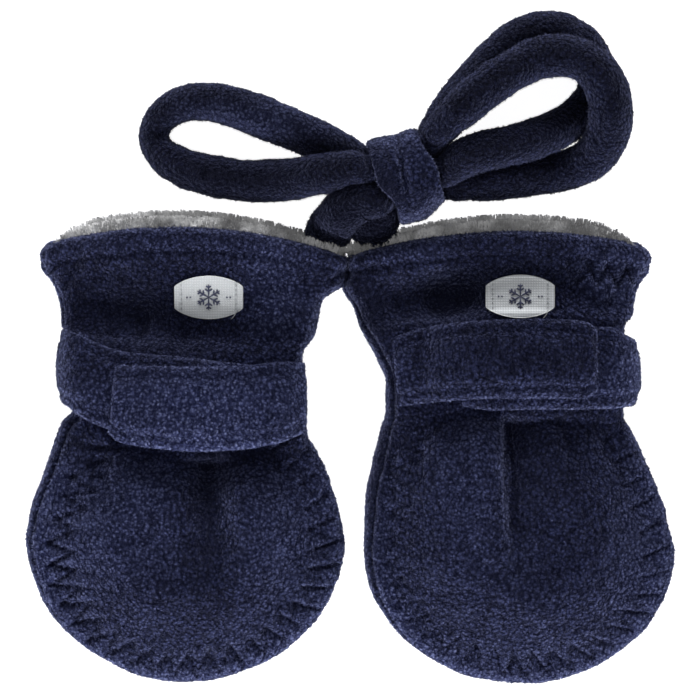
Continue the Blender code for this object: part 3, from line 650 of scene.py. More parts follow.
def threads(name, runs, radius, material, slot):
    """Several threads as one piece. runs holds the points of each."""
    verts, faces = [], []
    for run in runs:
        more, rings = tube(run, radius)
        faces += [tuple(i + len(verts) for i in ring) for ring in rings]
        verts += more
    return new_piece(name, verts, faces, material, slot)


# Nodes


def srgb(code):
    """A linear colour from sRGB hex."""
    parts = [int(code[k : k + 2], 16) / 255.0 for k in (0, 2, 4)]
    return (*[c / 12.92 if c <= 0.04045 else ((c + 0.055) / 1.055) ** 2.4 for c in parts], 1.0)


def per_mm(size):
    """A texture's scale from the size in millimetres of what it draws."""
    return 1000.0 / size


def add(tree, kind, inputs=None, **settings):
    """Add one node. inputs gives the value of a socket, or the output that it takes."""
    node = tree.nodes.new(kind)
    for name, value in settings.items():
        setattr(node, name, value)
    for key, value in (inputs or {}).items():
        if isinstance(value, bpy.types.NodeSocket):
            tree.links.new(value, node.inputs[key])
        else:
            node.inputs[key].default_value = value
    return node


def new_material(name, settings):
    """A material, its tree and its shader, with what is the same all over set on the shader."""
    made = bpy.data.materials.new(name)
    made.use_nodes = True
    shader = made.node_tree.nodes["Principled BSDF"]
    for key, value in settings.items():
        shader.inputs[key].default_value = value
    return made, made.node_tree, shader


def ramp(tree, value, stops):
    """A colour ramp of (place, sRGB hex) stops."""
    node = add(tree, "ShaderNodeValToRGB", {"Fac": value})
    points = node.color_ramp.elements
    while len(points) < len(stops):
        points.new(0.5)
    for point, (place, code) in zip(points, stops):
        point.position = place
        point.color = srgb(code)
    return node.outputs["Color"]


# Materials


FLEECE_PILL = 0.9  # size of a soft pill of the fleece
FLEECE_FUZZ = 0.3
FLEECE_SWIRL = 1.6  # size of the swirls that bend the pills out of order
FLEECE_PATCH = 8.0


def pill_height(tree):
    """The height of the fleece's pills, which are bent out of any order, and of the fuzz on them, from
    about 0.3 in the partings to 0.9 on top."""
    flattened = add(
        tree,
        "ShaderNodeVectorMath",
        {0: add(tree, "ShaderNodeTexCoord").outputs["Object"], 1: (1.0, 1.0, 0.5)},
        operation="MULTIPLY",
    )
    place = flattened.outputs["Vector"]
    swirl = add(
        tree, "ShaderNodeTexNoise", {"Vector": place, "Scale": per_mm(FLEECE_SWIRL), "Detail": 2.0}
    ).outputs["Color"]
    bent = add(
        tree,
        "ShaderNodeVectorMath",
        {0: swirl, 1: (0.0006, 0.0006, 0.0006), 2: place},
        operation="MULTIPLY_ADD",
    ).outputs["Vector"]
    pills = add(
        tree,
        "ShaderNodeTexVoronoi",
        {"Vector": bent, "Scale": per_mm(FLEECE_PILL), "Smoothness": 0.6},
        feature="SMOOTH_F1",
    ).outputs["Distance"]
    fuzz = add(
        tree, "ShaderNodeTexNoise", {"Vector": bent, "Scale": per_mm(FLEECE_FUZZ), "Detail": 3.0}
    ).outputs["Fac"]
    both = add(tree, "ShaderNodeMath", {0: fuzz, 1: 0.8, 2: pills}, operation="MULTIPLY_ADD")
    return add(
        tree, "ShaderNodeMath", {0: 1.3, 1: both.outputs["Value"]}, operation="SUBTRACT"
    ).outputs["Value"]


def fleece_patches(tree):
    """Slow changes of tone, where the pile lies one way or another."""
    place = add(tree, "ShaderNodeTexCoord").outputs["Object"]
    patches = add(
        tree, "ShaderNodeTexNoise", {"Vector": place, "Scale": per_mm(FLEECE_PATCH), "Detail": 3.0}
    ).outputs["Fac"]
    return ramp(tree, patches, ((0.32, "cfcdd6"), (0.68, "ffffff")))


def painted_highlight_tone(tree, height):
    """The tone of a painted highlight: paler where the fleece's pills stand higher."""
    return ramp(tree, height, ((0.36, "2b3158"), (0.6, "5c6492"), (0.85, "8890b8")))


def painted_side_sheen(tree, normal, colour, pale):
    """The cloth's colour with painted sheen: it pales on slopes that face sideways, standing in for the
    glow of fleece lit along its surface.
    """
    up = add(tree, "ShaderNodeSeparateXYZ", {"Vector": normal}).outputs["Z"]
    slope = add(
        tree,
        "ShaderNodeMapRange",
        {"Value": up, "From Min": 0.92, "From Max": 0.3, "To Min": 0.0, "To Max": 0.85},
    ).outputs["Result"]
    return add(tree, "ShaderNodeMix", {0: slope, "A": colour, "B": pale}, data_type="RGBA").outputs[2]


def tinted(tree, colour, tone):
    """A colour darkened by a tone."""
    return add(
        tree, "ShaderNodeMix", {0: 1.0, "A": colour, "B": tone}, data_type="RGBA", blend_type="MULTIPLY"
    ).outputs[2]


def worked(tree, tone, height, dark):
    """The cloth's tone with painted light: paler where a painted highlight is marked, and darker where
    the sewn mark holds painted shade.
    """
    # Painted highlight: the tone is mixed towards the pale highlight tone where the mark says so.
    painted_highlight = add(tree, "ShaderNodeAttribute", attribute_name="painted_highlight").outputs["Fac"]
    raised = add(
        tree, "ShaderNodeMix", {0: painted_highlight, "A": tone, "B": painted_highlight_tone(tree, height)}, data_type="RGBA"
    )
    # The sewn mark holds painted shade: stitch grooves, hollows and shaded patches.
    sewn = add(tree, "ShaderNodeAttribute", attribute_name="sewn").outputs["Fac"]
    return add(
        tree, "ShaderNodeMix", {0: sewn, "A": raised.outputs[2], "B": srgb(dark)}, data_type="RGBA"
    ).outputs[2]


def fleece(name, dark, middle, light, pale, sheen):
    """Polar fleece: knitted polyester whose raised pile is sheared and tumbled into soft pills. It
    drinks light face on and glows bluish where it is seen along the surface. Its colour also carries
    painted sheen on its sides, painted highlights and painted shade."""
    made, tree, shader = new_material(
        name,
        {
            "Roughness": 0.95,
            "Metallic": 0.0,
            "Specular IOR Level": 0.1,
            "Sheen Weight": sheen,
            "Sheen Roughness": 0.4,
            "Sheen Tint": srgb("a3abdf"),
        },
    )
    height = pill_height(tree)
    # Darker in the pills' partings and paler on their tops: partly the fleece's own tone, partly
    # painted shade and highlight.
    colour = ramp(tree, height, ((0.3, dark), (0.55, middle), (0.85, light)))
    normal = add(tree, "ShaderNodeNewGeometry").outputs["Normal"]
    # Painted sheen: the sideways-facing slopes turn to the pale colour.
    sides = ramp(tree, height, ((0.36, middle), (0.8, pale)))
    tone = painted_side_sheen(tree, normal, tinted(tree, colour, fleece_patches(tree)), sides)
    tree.links.new(worked(tree, tone, height, dark), shader.inputs["Base Color"])
    bump = add(tree, "ShaderNodeBump", {"Height": height, "Distance": 0.001, "Strength": 1.0})
    tree.links.new(bump.outputs["Normal"], shader.inputs["Normal"])
    return made


def nap_fibre(name, dark, light, pale, sheen):
    """The loose fibre ends of the fleece, which lie curled on it and are lit much as it is. Their
    colour carries the same painted sheen, highlights and shade.
    """
    made, tree, shader = new_material(
        name,
        {
            "Roughness": 0.9,
            "Metallic": 0.0,
            "Specular IOR Level": 0.1,
            "Sheen Weight": sheen,
            "Sheen Roughness": 0.4,
            "Sheen Tint": srgb("a8b0e2"),
        },
    )
    height = pill_height(tree)
    # Darker in the partings and paler on the tops: partly own tone, partly painted shade and highlight.
    colour = ramp(tree, height, ((0.38, dark), (0.8, light)))
    ground = add(tree, "ShaderNodeAttribute", attribute_name="ground_normal").outputs["Vector"]
    # Painted sheen: the sideways-facing slopes turn to the pale colour.
    sides = ramp(tree, height, ((0.36, dark), (0.8, pale)))
    tone = painted_side_sheen(tree, ground, tinted(tree, colour, fleece_patches(tree)), sides)
    tree.links.new(worked(tree, tone, height, dark), shader.inputs["Base Color"])
    tree.links.new(ground, shader.inputs["Normal"])
    return made


def pile_cloth():
    """High pile lining: a light grey knit ground, darker down between the strands."""
    made, tree, shader = new_material(
        "polyester pile ground", {"Roughness": 1.0, "Metallic": 0.0, "Specular IOR Level": 0.1}
    )
    place = add(tree, "ShaderNodeTexCoord").outputs["Object"]
    lumps = add(
        tree, "ShaderNodeTexNoise", {"Vector": place, "Scale": per_mm(1.0), "Detail": 3.0}
    ).outputs["Fac"]
    colour = ramp(tree, lumps, ((0.3, "b4b4b7"), (0.7, "e6e6e7")))
    tree.links.new(colour, shader.inputs["Base Color"])
    bump = add(tree, "ShaderNodeBump", {"Height": lumps, "Distance": 0.0008, "Strength": 1.0})
    tree.links.new(bump.outputs["Normal"], shader.inputs["Normal"])
    return made


def pile_strand():
    """Soft polyester pile: pale grey strands with a faint painted glow, an even emission that stands in
    for light coming through them.
    """
    made, tree, shader = new_material(
        "polyester pile strand",
        {
            "Roughness": 0.8,
            "Metallic": 0.0,
            "Specular IOR Level": 0.2,
            "Sheen Weight": 0.4,
            "Sheen Roughness": 0.5,
            # Painted glow: a faint emission all over the strands.
            "Emission Color": (1.0, 1.0, 1.0, 1.0),
            "Emission Strength": 0.06,
        },
    )
    place = add(tree, "ShaderNodeTexCoord").outputs["Object"]
    locks = add(
        tree, "ShaderNodeTexNoise", {"Vector": place, "Scale": per_mm(2.5), "Detail": 3.0}
    ).outputs["Fac"]
    colour = ramp(tree, locks, ((0.32, "a8a8aa"), (0.47, "e2e2e3"), (0.7, "fcfcfc")))
    worn = add(
        tree, "ShaderNodeTexNoise", {"Vector": place, "Scale": per_mm(14.0), "Detail": 2.0}
    ).outputs["Fac"]
    tone = tinted(tree, colour, ramp(tree, worn, ((0.37, "909093"), (0.6, "fafafa"))))
    tree.links.new(tone, shader.inputs["Base Color"])
    return made


WOVEN_THREAD = 0.35  # spacing of the label's threads, drawn coarse enough to show
WAVE_TURN = 6.28  # a wave texture draws about this many bands in the size that its scale gives


def woven_label():
    """Damask label: fine light grey threads, flat and close, with a faint satin gleam."""
    made, tree, shader = new_material(
        "woven polyester label",
        {"Roughness": 0.6, "Metallic": 0.0, "Specular IOR Level": 0.3, "Sheen Weight": 0.2},
    )
    place = add(tree, "ShaderNodeTexCoord").outputs["Object"]
    rows = add(
        tree,
        "ShaderNodeTexWave",
        {"Vector": place, "Scale": per_mm(WOVEN_THREAD * WAVE_TURN), "Distortion": 0.4},
        bands_direction="Y",
    ).outputs["Fac"]
    columns = add(
        tree,
        "ShaderNodeTexWave",
        {"Vector": place, "Scale": per_mm(WOVEN_THREAD * WAVE_TURN), "Distortion": 0.4},
        bands_direction="X",
    ).outputs["Fac"]
    weave = add(tree, "ShaderNodeMath", {0: rows, 1: columns}, operation="MULTIPLY").outputs["Value"]
    colour = ramp(tree, weave, ((0.0, "ccd0d4"), (1.0, "e3e6e9")))
    tree.links.new(colour, shader.inputs["Base Color"])
    bump = add(tree, "ShaderNodeBump", {"Height": weave, "Distance": 0.00015, "Strength": 0.6})
    tree.links.new(bump.outputs["Normal"], shader.inputs["Normal"])
    return made


def thread(name, tones):
    """Spun polyester thread: round, slightly shiny along its twist."""
    made, tree, shader = new_material(
        name, {"Roughness": 0.55, "Metallic": 0.0, "Specular IOR Level": 0.35, "Sheen Weight": 0.3}
    )
    place = add(tree, "ShaderNodeTexCoord").outputs["Object"]
    twist = add(
        tree, "ShaderNodeTexNoise", {"Vector": place, "Scale": per_mm(0.4), "Detail": 1.0}
    ).outputs["Fac"]
    colour = ramp(tree, twist, ((0.3, tones[0]), (0.7, tones[1])))
    tree.links.new(colour, shader.inputs["Base Color"])
    return made


def table_top():
    """A matt opal acrylic light table: white, and lit a little from below, which fades shadows."""
    made, tree, shader = new_material(
        "opal acrylic light table",
        {
            "Roughness": 0.9,
            "Metallic": 0.0,
            "Specular IOR Level": 0.0,
            "Emission Color": (1.0, 1.0, 1.0, 1.0),
            "Emission Strength": 0.95,
        },
    )
    place = add(tree, "ShaderNodeTexCoord").outputs["Object"]
    tone = add(tree, "ShaderNodeTexNoise", {"Vector": place, "Scale": per_mm(60.0)}).outputs["Fac"]
    colour = ramp(tree, tone, ((0.3, "f7f7f8"), (0.7, "fafafa")))
    tree.links.new(colour, shader.inputs["Base Color"])
    return made


# The studio: camera, table and lights


TENT_WALL = 1.45  # how bright the white tent round the table is, low down and overhead
TENT_TOP = 0.22
TABLE_HALF = 4.0  # in metres, as the lights are
TABLE_HEIGHT = -0.0003
LENS = 135.0
SENSOR = 36.0
VIEW_X = -0.3  # what the camera looks straight down on
VIEW_Y = 26.95
VIEW_WIDTH = 192.5
VIEW_LEVEL = 7.0  # height at which the frame is that wide


def studio_camera():
    """A long lens that looks straight down on the pair."""
    data = bpy.data.cameras.new("camera")
    data.lens = LENS
    data.sensor_width = SENSOR
    data.clip_start = 0.01
    data.clip_end = 20.0
    camera = bpy.data.objects.new("camera", data)
    height = VIEW_LEVEL + VIEW_WIDTH * LENS / SENSOR
    camera.location = (VIEW_X * MM, VIEW_Y * MM, height * MM)
    bpy.context.scene.collection.objects.link(camera)
    bpy.context.scene.camera = camera


def studio_light(name, place, target, size, power):
    """A rectangular area light at a place, turned to its target. All in metres and watts."""
    data = bpy.data.lights.new(name, "AREA")
    data.shape = "RECTANGLE"
    data.size, data.size_y = size
    data.energy = power
    light = bpy.data.objects.new(name, data)
    light.location = place
    light.rotation_euler = (Vector(target) - Vector(place)).to_track_quat("-Z", "Y").to_euler()
    bpy.context.scene.collection.objects.link(light)


def studio():
    """A white table under a broad light from the cuffs' side and a soft fill from all round."""
    mesh = bpy.data.meshes.new("table")
    corners = ((-1, -1), (1, -1), (1, 1), (-1, 1))
    points = [(x * TABLE_HALF, y * TABLE_HALF, TABLE_HEIGHT) for x, y in corners]
    mesh.from_pydata(points, [], [(0, 1, 2, 3)])
    mesh.materials.append(table_top())
    table = bpy.data.objects.new("table", mesh)
    bpy.context.scene.collection.objects.link(table)
    centre = (0.0, 0.02, 0.0)
    studio_light("key_light", (-0.08, -0.85, 0.3), centre, (0.9, 0.2), 15.0)
    studio_light("back_light", (0.1, 1.3, 0.36), centre, (1.0, 0.3), 15.0)
    world = bpy.data.worlds.new("white tent, open at the top")
    world.use_nodes = True
    tree = world.node_tree
    way = add(tree, "ShaderNodeTexCoord").outputs["Generated"]
    height = add(tree, "ShaderNodeSeparateXYZ", {"Vector": way}).outputs["Z"]
    glow = add(
        tree,
        "ShaderNodeMapRange",
        {"Value": height, "From Min": 0.2, "From Max": 0.6, "To Min": TENT_WALL, "To Max": TENT_TOP},
    )
    tree.links.new(glow.outputs["Result"], tree.nodes["Background"].inputs["Strength"])
    tree.nodes["Background"].inputs["Color"].default_value = (1.0, 1.0, 1.0, 1.0)
    bpy.context.scene.world = world
    bpy.context.scene.view_settings.view_transform = "Standard"


# Painted highlights and painted shade


INSIDE = -1.0  # what a mark says on the inside of a wall

# Patches of painted light: where a place is painted paler as a highlight, or, below 0, painted
# darker as shade.
Brush = namedtuple("Brush", "x y reach_x reach_y share")

# Painted highlights on lit bulges and rims, and painted shade in the valley, under the straps and on
# the right mitten's left side.
SHELL_PAINTED_LIGHT = {
    "left": (
        Brush(-21.0, 41.0, 10.0, 14.0, 0.55),
        Brush(-42.0, 55.5, 48.0, 4.5, 0.2),
        Brush(-68.0, -26.0, 22.0, 20.0, 0.45),
        Brush(-56.0, -8.0, 10.0, 8.0, 0.3),
        Brush(-64.0, -44.0, 12.0, 8.0, -0.15),
        Brush(-20.0, -24.0, 14.0, 26.0, 0.35),
        Brush(-46.0, -60.0, 38.0, 8.0, 0.1),
        Brush(-39.5, -18.0, 4.5, 20.0, -0.6),
        Brush(-36.0, -2.0, 9.0, 4.0, -0.7),
        Brush(-22.0, -1.0, 10.0, 3.0, -0.5),
        Brush(-50.0, 27.5, 26.0, 2.5, -0.5),
        Brush(-58.0, 38.0, 18.0, 9.0, -0.3),
    ),
    "right": (
        Brush(32.0, -8.0, 9.0, 18.0, 0.25),
        Brush(44.0, -34.0, 34.0, 24.0, 0.12),
        Brush(48.0, -60.0, 38.0, 7.0, 0.1),
        Brush(80.0, -30.0, 9.0, 34.0, 0.35),
        Brush(72.0, 46.0, 12.0, 9.0, 0.5),
        Brush(14.0, 54.0, 14.0, 5.0, 0.3),
        Brush(8.0, 2.0, 8.0, 24.0, -0.5),
        Brush(3.0, 34.0, 6.0, 12.0, -0.9),
        Brush(5.0, 0.0, 4.0, 26.0, -0.6),
        Brush(46.0, 0.0, 4.0, 16.0, -0.4),
        Brush(36.0, 41.0, 18.0, 7.0, -0.7),
    ),
}
# Painted highlights on the straps' lit lower parts, and painted shade along their tops.
STRAP_PAINTED_LIGHT = {
    "left": (
        Brush(-40.0, 12.0, 30.0, 12.0, 0.8),
        Brush(-40.0, 1.0, 30.0, 3.5, 0.6),
        Brush(-50.0, 25.0, 24.0, 2.2, -0.6),
    ),
    "right": (
        Brush(50.0, 16.5, 26.0, 5.0, 0.3),
        Brush(78.0, 22.0, 9.0, 14.0, 0.6),
        Brush(14.0, 24.0, 4.0, 9.0, 0.3),
        Brush(40.0, 27.0, 28.0, 9.0, -0.4),
    ),
}
# Painted shade on the cord's lower strand and tails, and a painted highlight on the left loop's top.
CORD_PAINTED_LIGHT = (
    Brush(-24.0, 91.0, 22.0, 7.0, 0.25),
    Brush(-30.0, 74.0, 24.0, 6.0, -0.8),
    Brush(3.0, 59.0, 14.0, 6.0, -0.9),
    Brush(-3.0, 63.0, 8.0, 6.0, -0.6),
    Brush(14.0, 64.0, 5.0, 8.0, -0.6),
)
# Painted highlight on the knot's top, and painted shade on its left edge and bottom.
KNOT_PAINTED_LIGHT = (
    Brush(15.0, 78.0, 9.0, 7.0, 0.25),
    Brush(20.0, 67.0, 8.0, 6.0, -0.7),
    Brush(8.0, 70.0, 3.0, 9.0, -0.9),
    Brush(11.0, 68.5, 3.0, 8.0, -0.9),
    Brush(5.5, 81.0, 3.0, 8.0, -0.7),
)


def paint_light(piece, painted_lights):
    """Mark each point's painted highlight from the patches, and add painted shade to its sewn mark
    where they go below 0. A sewn mark below 0 is a painted highlight too."""
    sewn = piece.data.attributes["sewn"].data
    shares = []
    for vertex, point in zip(piece.data.vertices, sewn):
        x, y = vertex.co.x / MM, vertex.co.y / MM
        total = 0.08 * uneven((x, y, 0.0), 9.0, 6.0) - (point.value if point.value > INSIDE else 0.0)
        for b in painted_lights:
            total += b.share * hill((x - b.x) / b.reach_x) * hill((y - b.y) / b.reach_y)
        shares.append(min(max(total, 0.0), 1.0))
        point.value = min(max(-total, 0.0), 1.0)
    mark(piece, "painted_highlight", shares)


# The cord


CORD_POINTS = 12  # points on the curve from each step of a route to the next
CORD_RING_STEP = 1.0
CORD_SIDES = 28
HELD_WIDTH = 6.0  # width of the cord where the knot squeezes it, out of sight
CORD_CLOSE = 2.5  # length over which each end closes
TAIL_PRESS = 11.0  # length at each end over which the cord is pressed flat by the mitten's mouth


def spline_value(before, a, b, after, t):
    """A place between a and b on a smooth curve through four values."""
    turn = 2.0 * before - 5.0 * a + 4.0 * b - after
    twist = 3.0 * a - before - 3.0 * b + after
    return 0.5 * (2.0 * a + (b - before) * t + turn * t**2 + twist * t**3)


def on_knot(along, across, up):
    """A place in the knot's own directions: along its band, across it, and up from the table."""
    turn = math.radians(KNOT.angle)
    half = KNOT.half_length
    if along < 0.0:
        half -= KNOT.left_trim * ease((0.5 - across) / 8.5)
    else:
        half -= KNOT.right_trim * ease((across + 0.5) / 8.5)
    forward = along * half
    x = KNOT.x + forward * math.cos(turn) - across * math.sin(turn)
    y = KNOT.y + forward * math.sin(turn) + across * math.cos(turn)
    return x, y, up


def hold_steps(hold):
    """Two steps straight out from the knot's end: just clear of it, and at a stretch's short end."""
    x, y, z = on_knot(hold.end, hold.across, hold.up)
    low = on_knot(hold.end, hold.across - 1.5, hold.up)
    high = on_knot(hold.end, hold.across + 1.5, hold.up)
    run = math.dist(low, high)
    out_x = (high[1] - low[1]) / run * hold.end
    out_y = (low[0] - high[0]) / run * hold.end
    steps = []
    for out in (KNOT_SEAT, KNOT_SEAT + CORD_END):
        steps.append(Step(x + out_x * out, y + out_y * out, z, hold.width + (out - KNOT_SEAT) * 0.4))
    return steps


def stretch(route):
    """A stretch of the cord as steps, with its holds worked out."""
    steps = list(route)
    if isinstance(steps[0], Hold):
        steps[:1] = hold_steps(steps[0])
    if isinstance(steps[-1], Hold):
        steps[-1:] = reversed(hold_steps(steps[-1]))
    return steps


def dense_stretch(route):
    """Close points along a smooth curve through a stretch's steps."""
    steps = stretch(route)
    dense = []
    for k in range(len(steps) - 1):
        before = steps[max(k - 1, 0)]
        a, b = steps[k], steps[k + 1]
        after = steps[min(k + 2, len(steps) - 1)]
        for j in range(CORD_POINTS):
            t = j / CORD_POINTS
            dense.append([spline_value(*values, t) for values in zip(before, a, b, after)])
    dense.append(list(steps[-1]))
    return dense


def cord_line():
    """The whole cord's middle, with its width, in even steps from the left cuff to the right one. It
    runs on through the knot, out of sight, from each stretch to the next."""
    dense = dense_stretch(LEFT_TAIL)[::-1]
    for route in (UPPER_LOOP, LEFT_LOOP, FRONT_LOOP, RIGHT_TAIL):
        following = dense_stretch(route)
        for share in (0.3, 0.5, 0.7):
            hidden = [a + (b - a) * share for a, b in zip(dense[-1], following[0])]
            dense.append([*hidden[:3], HELD_WIDTH])
        dense += following
    dense = np.array(dense)
    dense = dense[np.concatenate(([True], steps_along(dense[:, :3]) > 1e-6))]
    lengths = np.concatenate(([0.0], np.cumsum(steps_along(dense[:, :3]))))
    count = round(lengths[-1] / CORD_RING_STEP)
    at = np.linspace(0.0, lengths[-1], count + 1)
    line = np.column_stack([np.interp(at, lengths, dense[:, k]) for k in range(4)])
    line[:, 2] = np.maximum(line[:, 2], line[:, 3] / 2.0 + 0.02)
    return line


def free_cord(material):
    """One soft fleece tube, lumpy where its filling is, wrinkled inside its tight bends, and flat
    where it lies on the table."""
    line = cord_line()
    centres = line[:, :3]
    verts = []
    for k, (centre, ahead, width) in enumerate(zip(centres, directions(centres), line[:, 3])):
        from_end = min(k, len(centres) - 1 - k) * CORD_RING_STEP
        close = max(rounded(from_end, CORD_CLOSE, 0.0), 0.3)
        for out in around(ahead, CORD_SIDES):
            point = centre + out * (width / 2.0 * close)
            lumps = 0.45 * uneven(point, 7.0, 3.1) + 0.25 * uneven(point, 2.6, 7.7)
            point = point + out * lumps
            point[2] = max(point[2], 0.05) * (1.0 - 0.42 * ease(1.0 - from_end / TAIL_PRESS))
            verts.append(tuple(point))
    faces = ring_faces(len(centres), CORD_SIDES)
    piece = new_piece("cord", verts, faces, material, "cord_fleece")
    mark(piece, "sewn", [0.0] * len(verts))
    mark(piece, "nap", [1.0 if v[2] > 0.6 else 0.0 for v in verts])
    paint_light(piece, CORD_PAINTED_LIGHT)
    tails = ("cord_tail_left", "cord_tail_right")
    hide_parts(*tails, "cord_loop_left", "cord_loop_upper", "cord_loop_front")
    return piece, line


KNOT_SQUARENESS = 0.8
KNOT_SIDES = 84
KNOT_SWELL = 0.6  # how far the band's cloth stands out from the plain solid
KNOT_STEPS = 44
KNOT_CREASE = 1.1  # depth of the crease across the band's top
KNOT_CUT = 2.6  # how far the band's lower right corner is drawn in
KNOT_ROLLS = ((1.005, 0.9), (1.0, 0.82), (0.98, 0.72), (0.93, 0.6))  # the edges turned in


def knot_stations():
    """(place along, share of its full size) of the band's rings, with its edges rolled in."""
    middle = []
    for r in range(KNOT_STEPS + 1):
        along = -math.cos(math.pi * r / KNOT_STEPS)
        middle.append((along, 0.94 + 0.06 * math.sqrt(max(0.0, 1.0 - along**4))))
    rolls = list(KNOT_ROLLS)
    return [(-along, share) for along, share in rolls[::-1]] + middle + rolls


def knot_band(material):
    """The band of the knot: the cord's own cloth pulled flat over the stretches that it holds."""
    stations = knot_stations()
    verts = []
    for along, share in stations:
        for k in range(KNOT_SIDES):
            angle = 2.0 * math.pi * k / KNOT_SIDES
            c, s = math.cos(angle), math.sin(angle)
            place = (along * 8.0, c * 10.0, s * 10.0)
            lift = KNOT_SWELL + 0.5 * uneven(place, 7.0, 1.3)
            lift += 0.2 * uneven(place, 2.6, 5.0)
            crease = KNOT_CREASE * hill((along + 0.12 - c * 0.15) / 0.11)
            lift -= crease * ease((s + 0.2) / 0.6) * ease((c + 0.5) / 0.5)
            wide = KNOT.half_height * share + lift
            wide -= KNOT_CUT * max(0.0, -c) * ease((along - 0.1) / 0.9)
            tall = KNOT.height / 2.0 * share + lift
            across = math.copysign(abs(c) ** KNOT_SQUARENESS, c) * wide
            rise = math.copysign(abs(s) ** KNOT_SQUARENESS, s) * tall
            x, y, z = on_knot(along, across, KNOT.height / 2.0 + rise)
            verts.append((x, y, max(z, 0.03)))
    faces = []
    for r in range(len(stations) - 1):
        for k in range(KNOT_SIDES):
            a, b = r * KNOT_SIDES + k, r * KNOT_SIDES + (k + 1) % KNOT_SIDES
            faces.append((a, b, b + KNOT_SIDES, a + KNOT_SIDES))
    last = (len(stations) - 1) * KNOT_SIDES
    faces.append(tuple(reversed(range(KNOT_SIDES))))
    faces.append(tuple(range(last, last + KNOT_SIDES)))
    piece = new_piece("knot", verts, faces, material, "cord_fleece")
    turn_out(piece)
    mark(piece, "sewn", [0.0] * len(verts))
    mark(piece, "nap", [1.0 if v[2] > 0.6 else 0.0 for v in verts])
    paint_light(piece, KNOT_PAINTED_LIGHT)
    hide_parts("cord_knot")
    return piece


# The shells


SECTION_TRIALS = 400  # trial sections that the even rows are picked from
SIDE_ROWS = 96  # steps from the mouth to the widest place
TIP_LINES = 144  # steps round the tip
COARSE = 4  # the plain inside of a wall has one step for this many of the outside's
STITCH_PITCH = 6.8
STITCH_OUTER = 3.4  # how far in from the side seam the zigzag's two rows of points are
STITCH_INNER = 11.4
STITCH_DEPTH = 1.15
STITCH_WIDTH = 0.5
HEM_STITCH_PITCH = 5.4
HEM_STITCH_TOP = 7.6  # how far below the mouth the hem's zigzag is
HEM_STITCH_FOOT = 13.4
HEM_STITCH_WIDTH = 0.8
HEM_STITCH_FAINT = 0.12  # how much of the hem's zigzag shows where the pile hides it
DEEPEST = 2.1  # as far as the outside of a shell may sink into its wall


def lines_of(mitten, reach):
    """The lines from the mouth's left corner round the tip to its right corner."""
    drop = mitten.sections[0].middle_y - mitten.sections[1].middle_y
    first, last = -reach / drop, len(mitten.sections) - 1.0
    trial = np.linspace(first, last, SECTION_TRIALS)
    heights = [section_at(mitten, at).middle_y for at in trial]
    wanted = np.linspace(heights[0], heights[-1], SIDE_ROWS + 1)
    places = np.interp(-wanted, -np.array(heights), trial)
    sections = [section_at(mitten, at) for at in places]
    below = [heights[0] - section.middle_y for section in sections]
    runs = []
    for side in ("left", "right"):
        run = []
        for section, under in zip(sections, below):
            edge_x = section.left_x if side == "left" else section.right_x
            roll = section.left_roll if side == "left" else section.right_roll
            edge = (edge_x, bow(section, edge_x))
            spine = (mitten.spine_x, bow(section, mitten.spine_x))
            run.append(Line(mitten, section, edge, spine, roll, True, under))
        runs.append(run)
    widest = mitten.sections[-1]
    middle_x = (widest.left_x + widest.right_x) / 2.0
    half = (widest.right_x - widest.left_x) / 2.0
    hub = (mitten.spine_x, widest.left_y)
    fan = []
    for k in range(1, TIP_LINES):
        t = k / TIP_LINES
        angle = math.pi * (1.0 + t)
        edge = (
            middle_x + half * math.cos(angle),
            widest.left_y + mitten.tip_length * math.sin(angle),
        )
        roll = widest.left_roll * (1.0 - ease(t * 2.2)) + widest.right_roll * ease(t)
        fan.append(Line(mitten, widest, edge, hub, roll, False, below[-1]))
    lines = runs[0] + fan + runs[1][::-1]
    for before, line in zip(lines, lines[1:]):
        line.along = before.along + math.dist(before.edge, line.edge)
    return lines


def point_keys(rows, columns, side_rows):
    """A number for each point of a wall's grid. The lines of the left and the right share the spine's
    points, and the tip's lines share the hub."""
    keys = {}
    index = []
    for j in range(rows):
        row = []
        for c in range(columns):
            key = ("spine", min(j, rows - 1 - j, side_rows)) if c == 0 else (j, c)
            row.append(keys.setdefault(key, len(keys)))
        index.append(row)
    return index, len(keys)


def wall(name, outer, inner, side_rows, material, slot, marks):
    """A closed wall from a fine grid of outside points and a coarse grid of inside points, whose
    rows run round the edge and whose columns run from the spine to the edge."""
    fine, fine_count = point_keys(len(outer), len(outer[0]), side_rows)
    coarse, coarse_count = point_keys(len(inner), len(inner[0]), side_rows // COARSE)
    verts = [None] * (fine_count + coarse_count)
    values = [INSIDE] * len(verts)
    for row, keys, row_marks in zip(outer, fine, marks):
        for point, i, value in zip(row, keys, row_marks):
            verts[i] = point
            values[i] = value
    for row, keys in zip(inner, coarse):
        for point, i in zip(row, keys):
            verts[fine_count + i] = point
    coarse = [[i + fine_count for i in row] for row in coarse]
    faces = grid_faces(fine)
    faces += [face[::-1] for face in grid_faces(coarse)]
    for k in range(len(coarse) - 1):
        near = [fine[k * COARSE + n][-1] for n in range(COARSE + 1)]
        faces.append([*near, coarse[k + 1][-1], coarse[k][-1]])
    for c in range(len(coarse[0]) - 1):
        first = [fine[0][c * COARSE + n] for n in range(COARSE, -1, -1)]
        faces.append([*first, coarse[0][c], coarse[0][c + 1]])
        last = [fine[-1][c * COARSE + n] for n in range(COARSE + 1)]
        faces.append([*last, coarse[-1][c + 1], coarse[-1][c]])
    piece = new_piece(name, verts, faces, material, slot)
    return piece, values


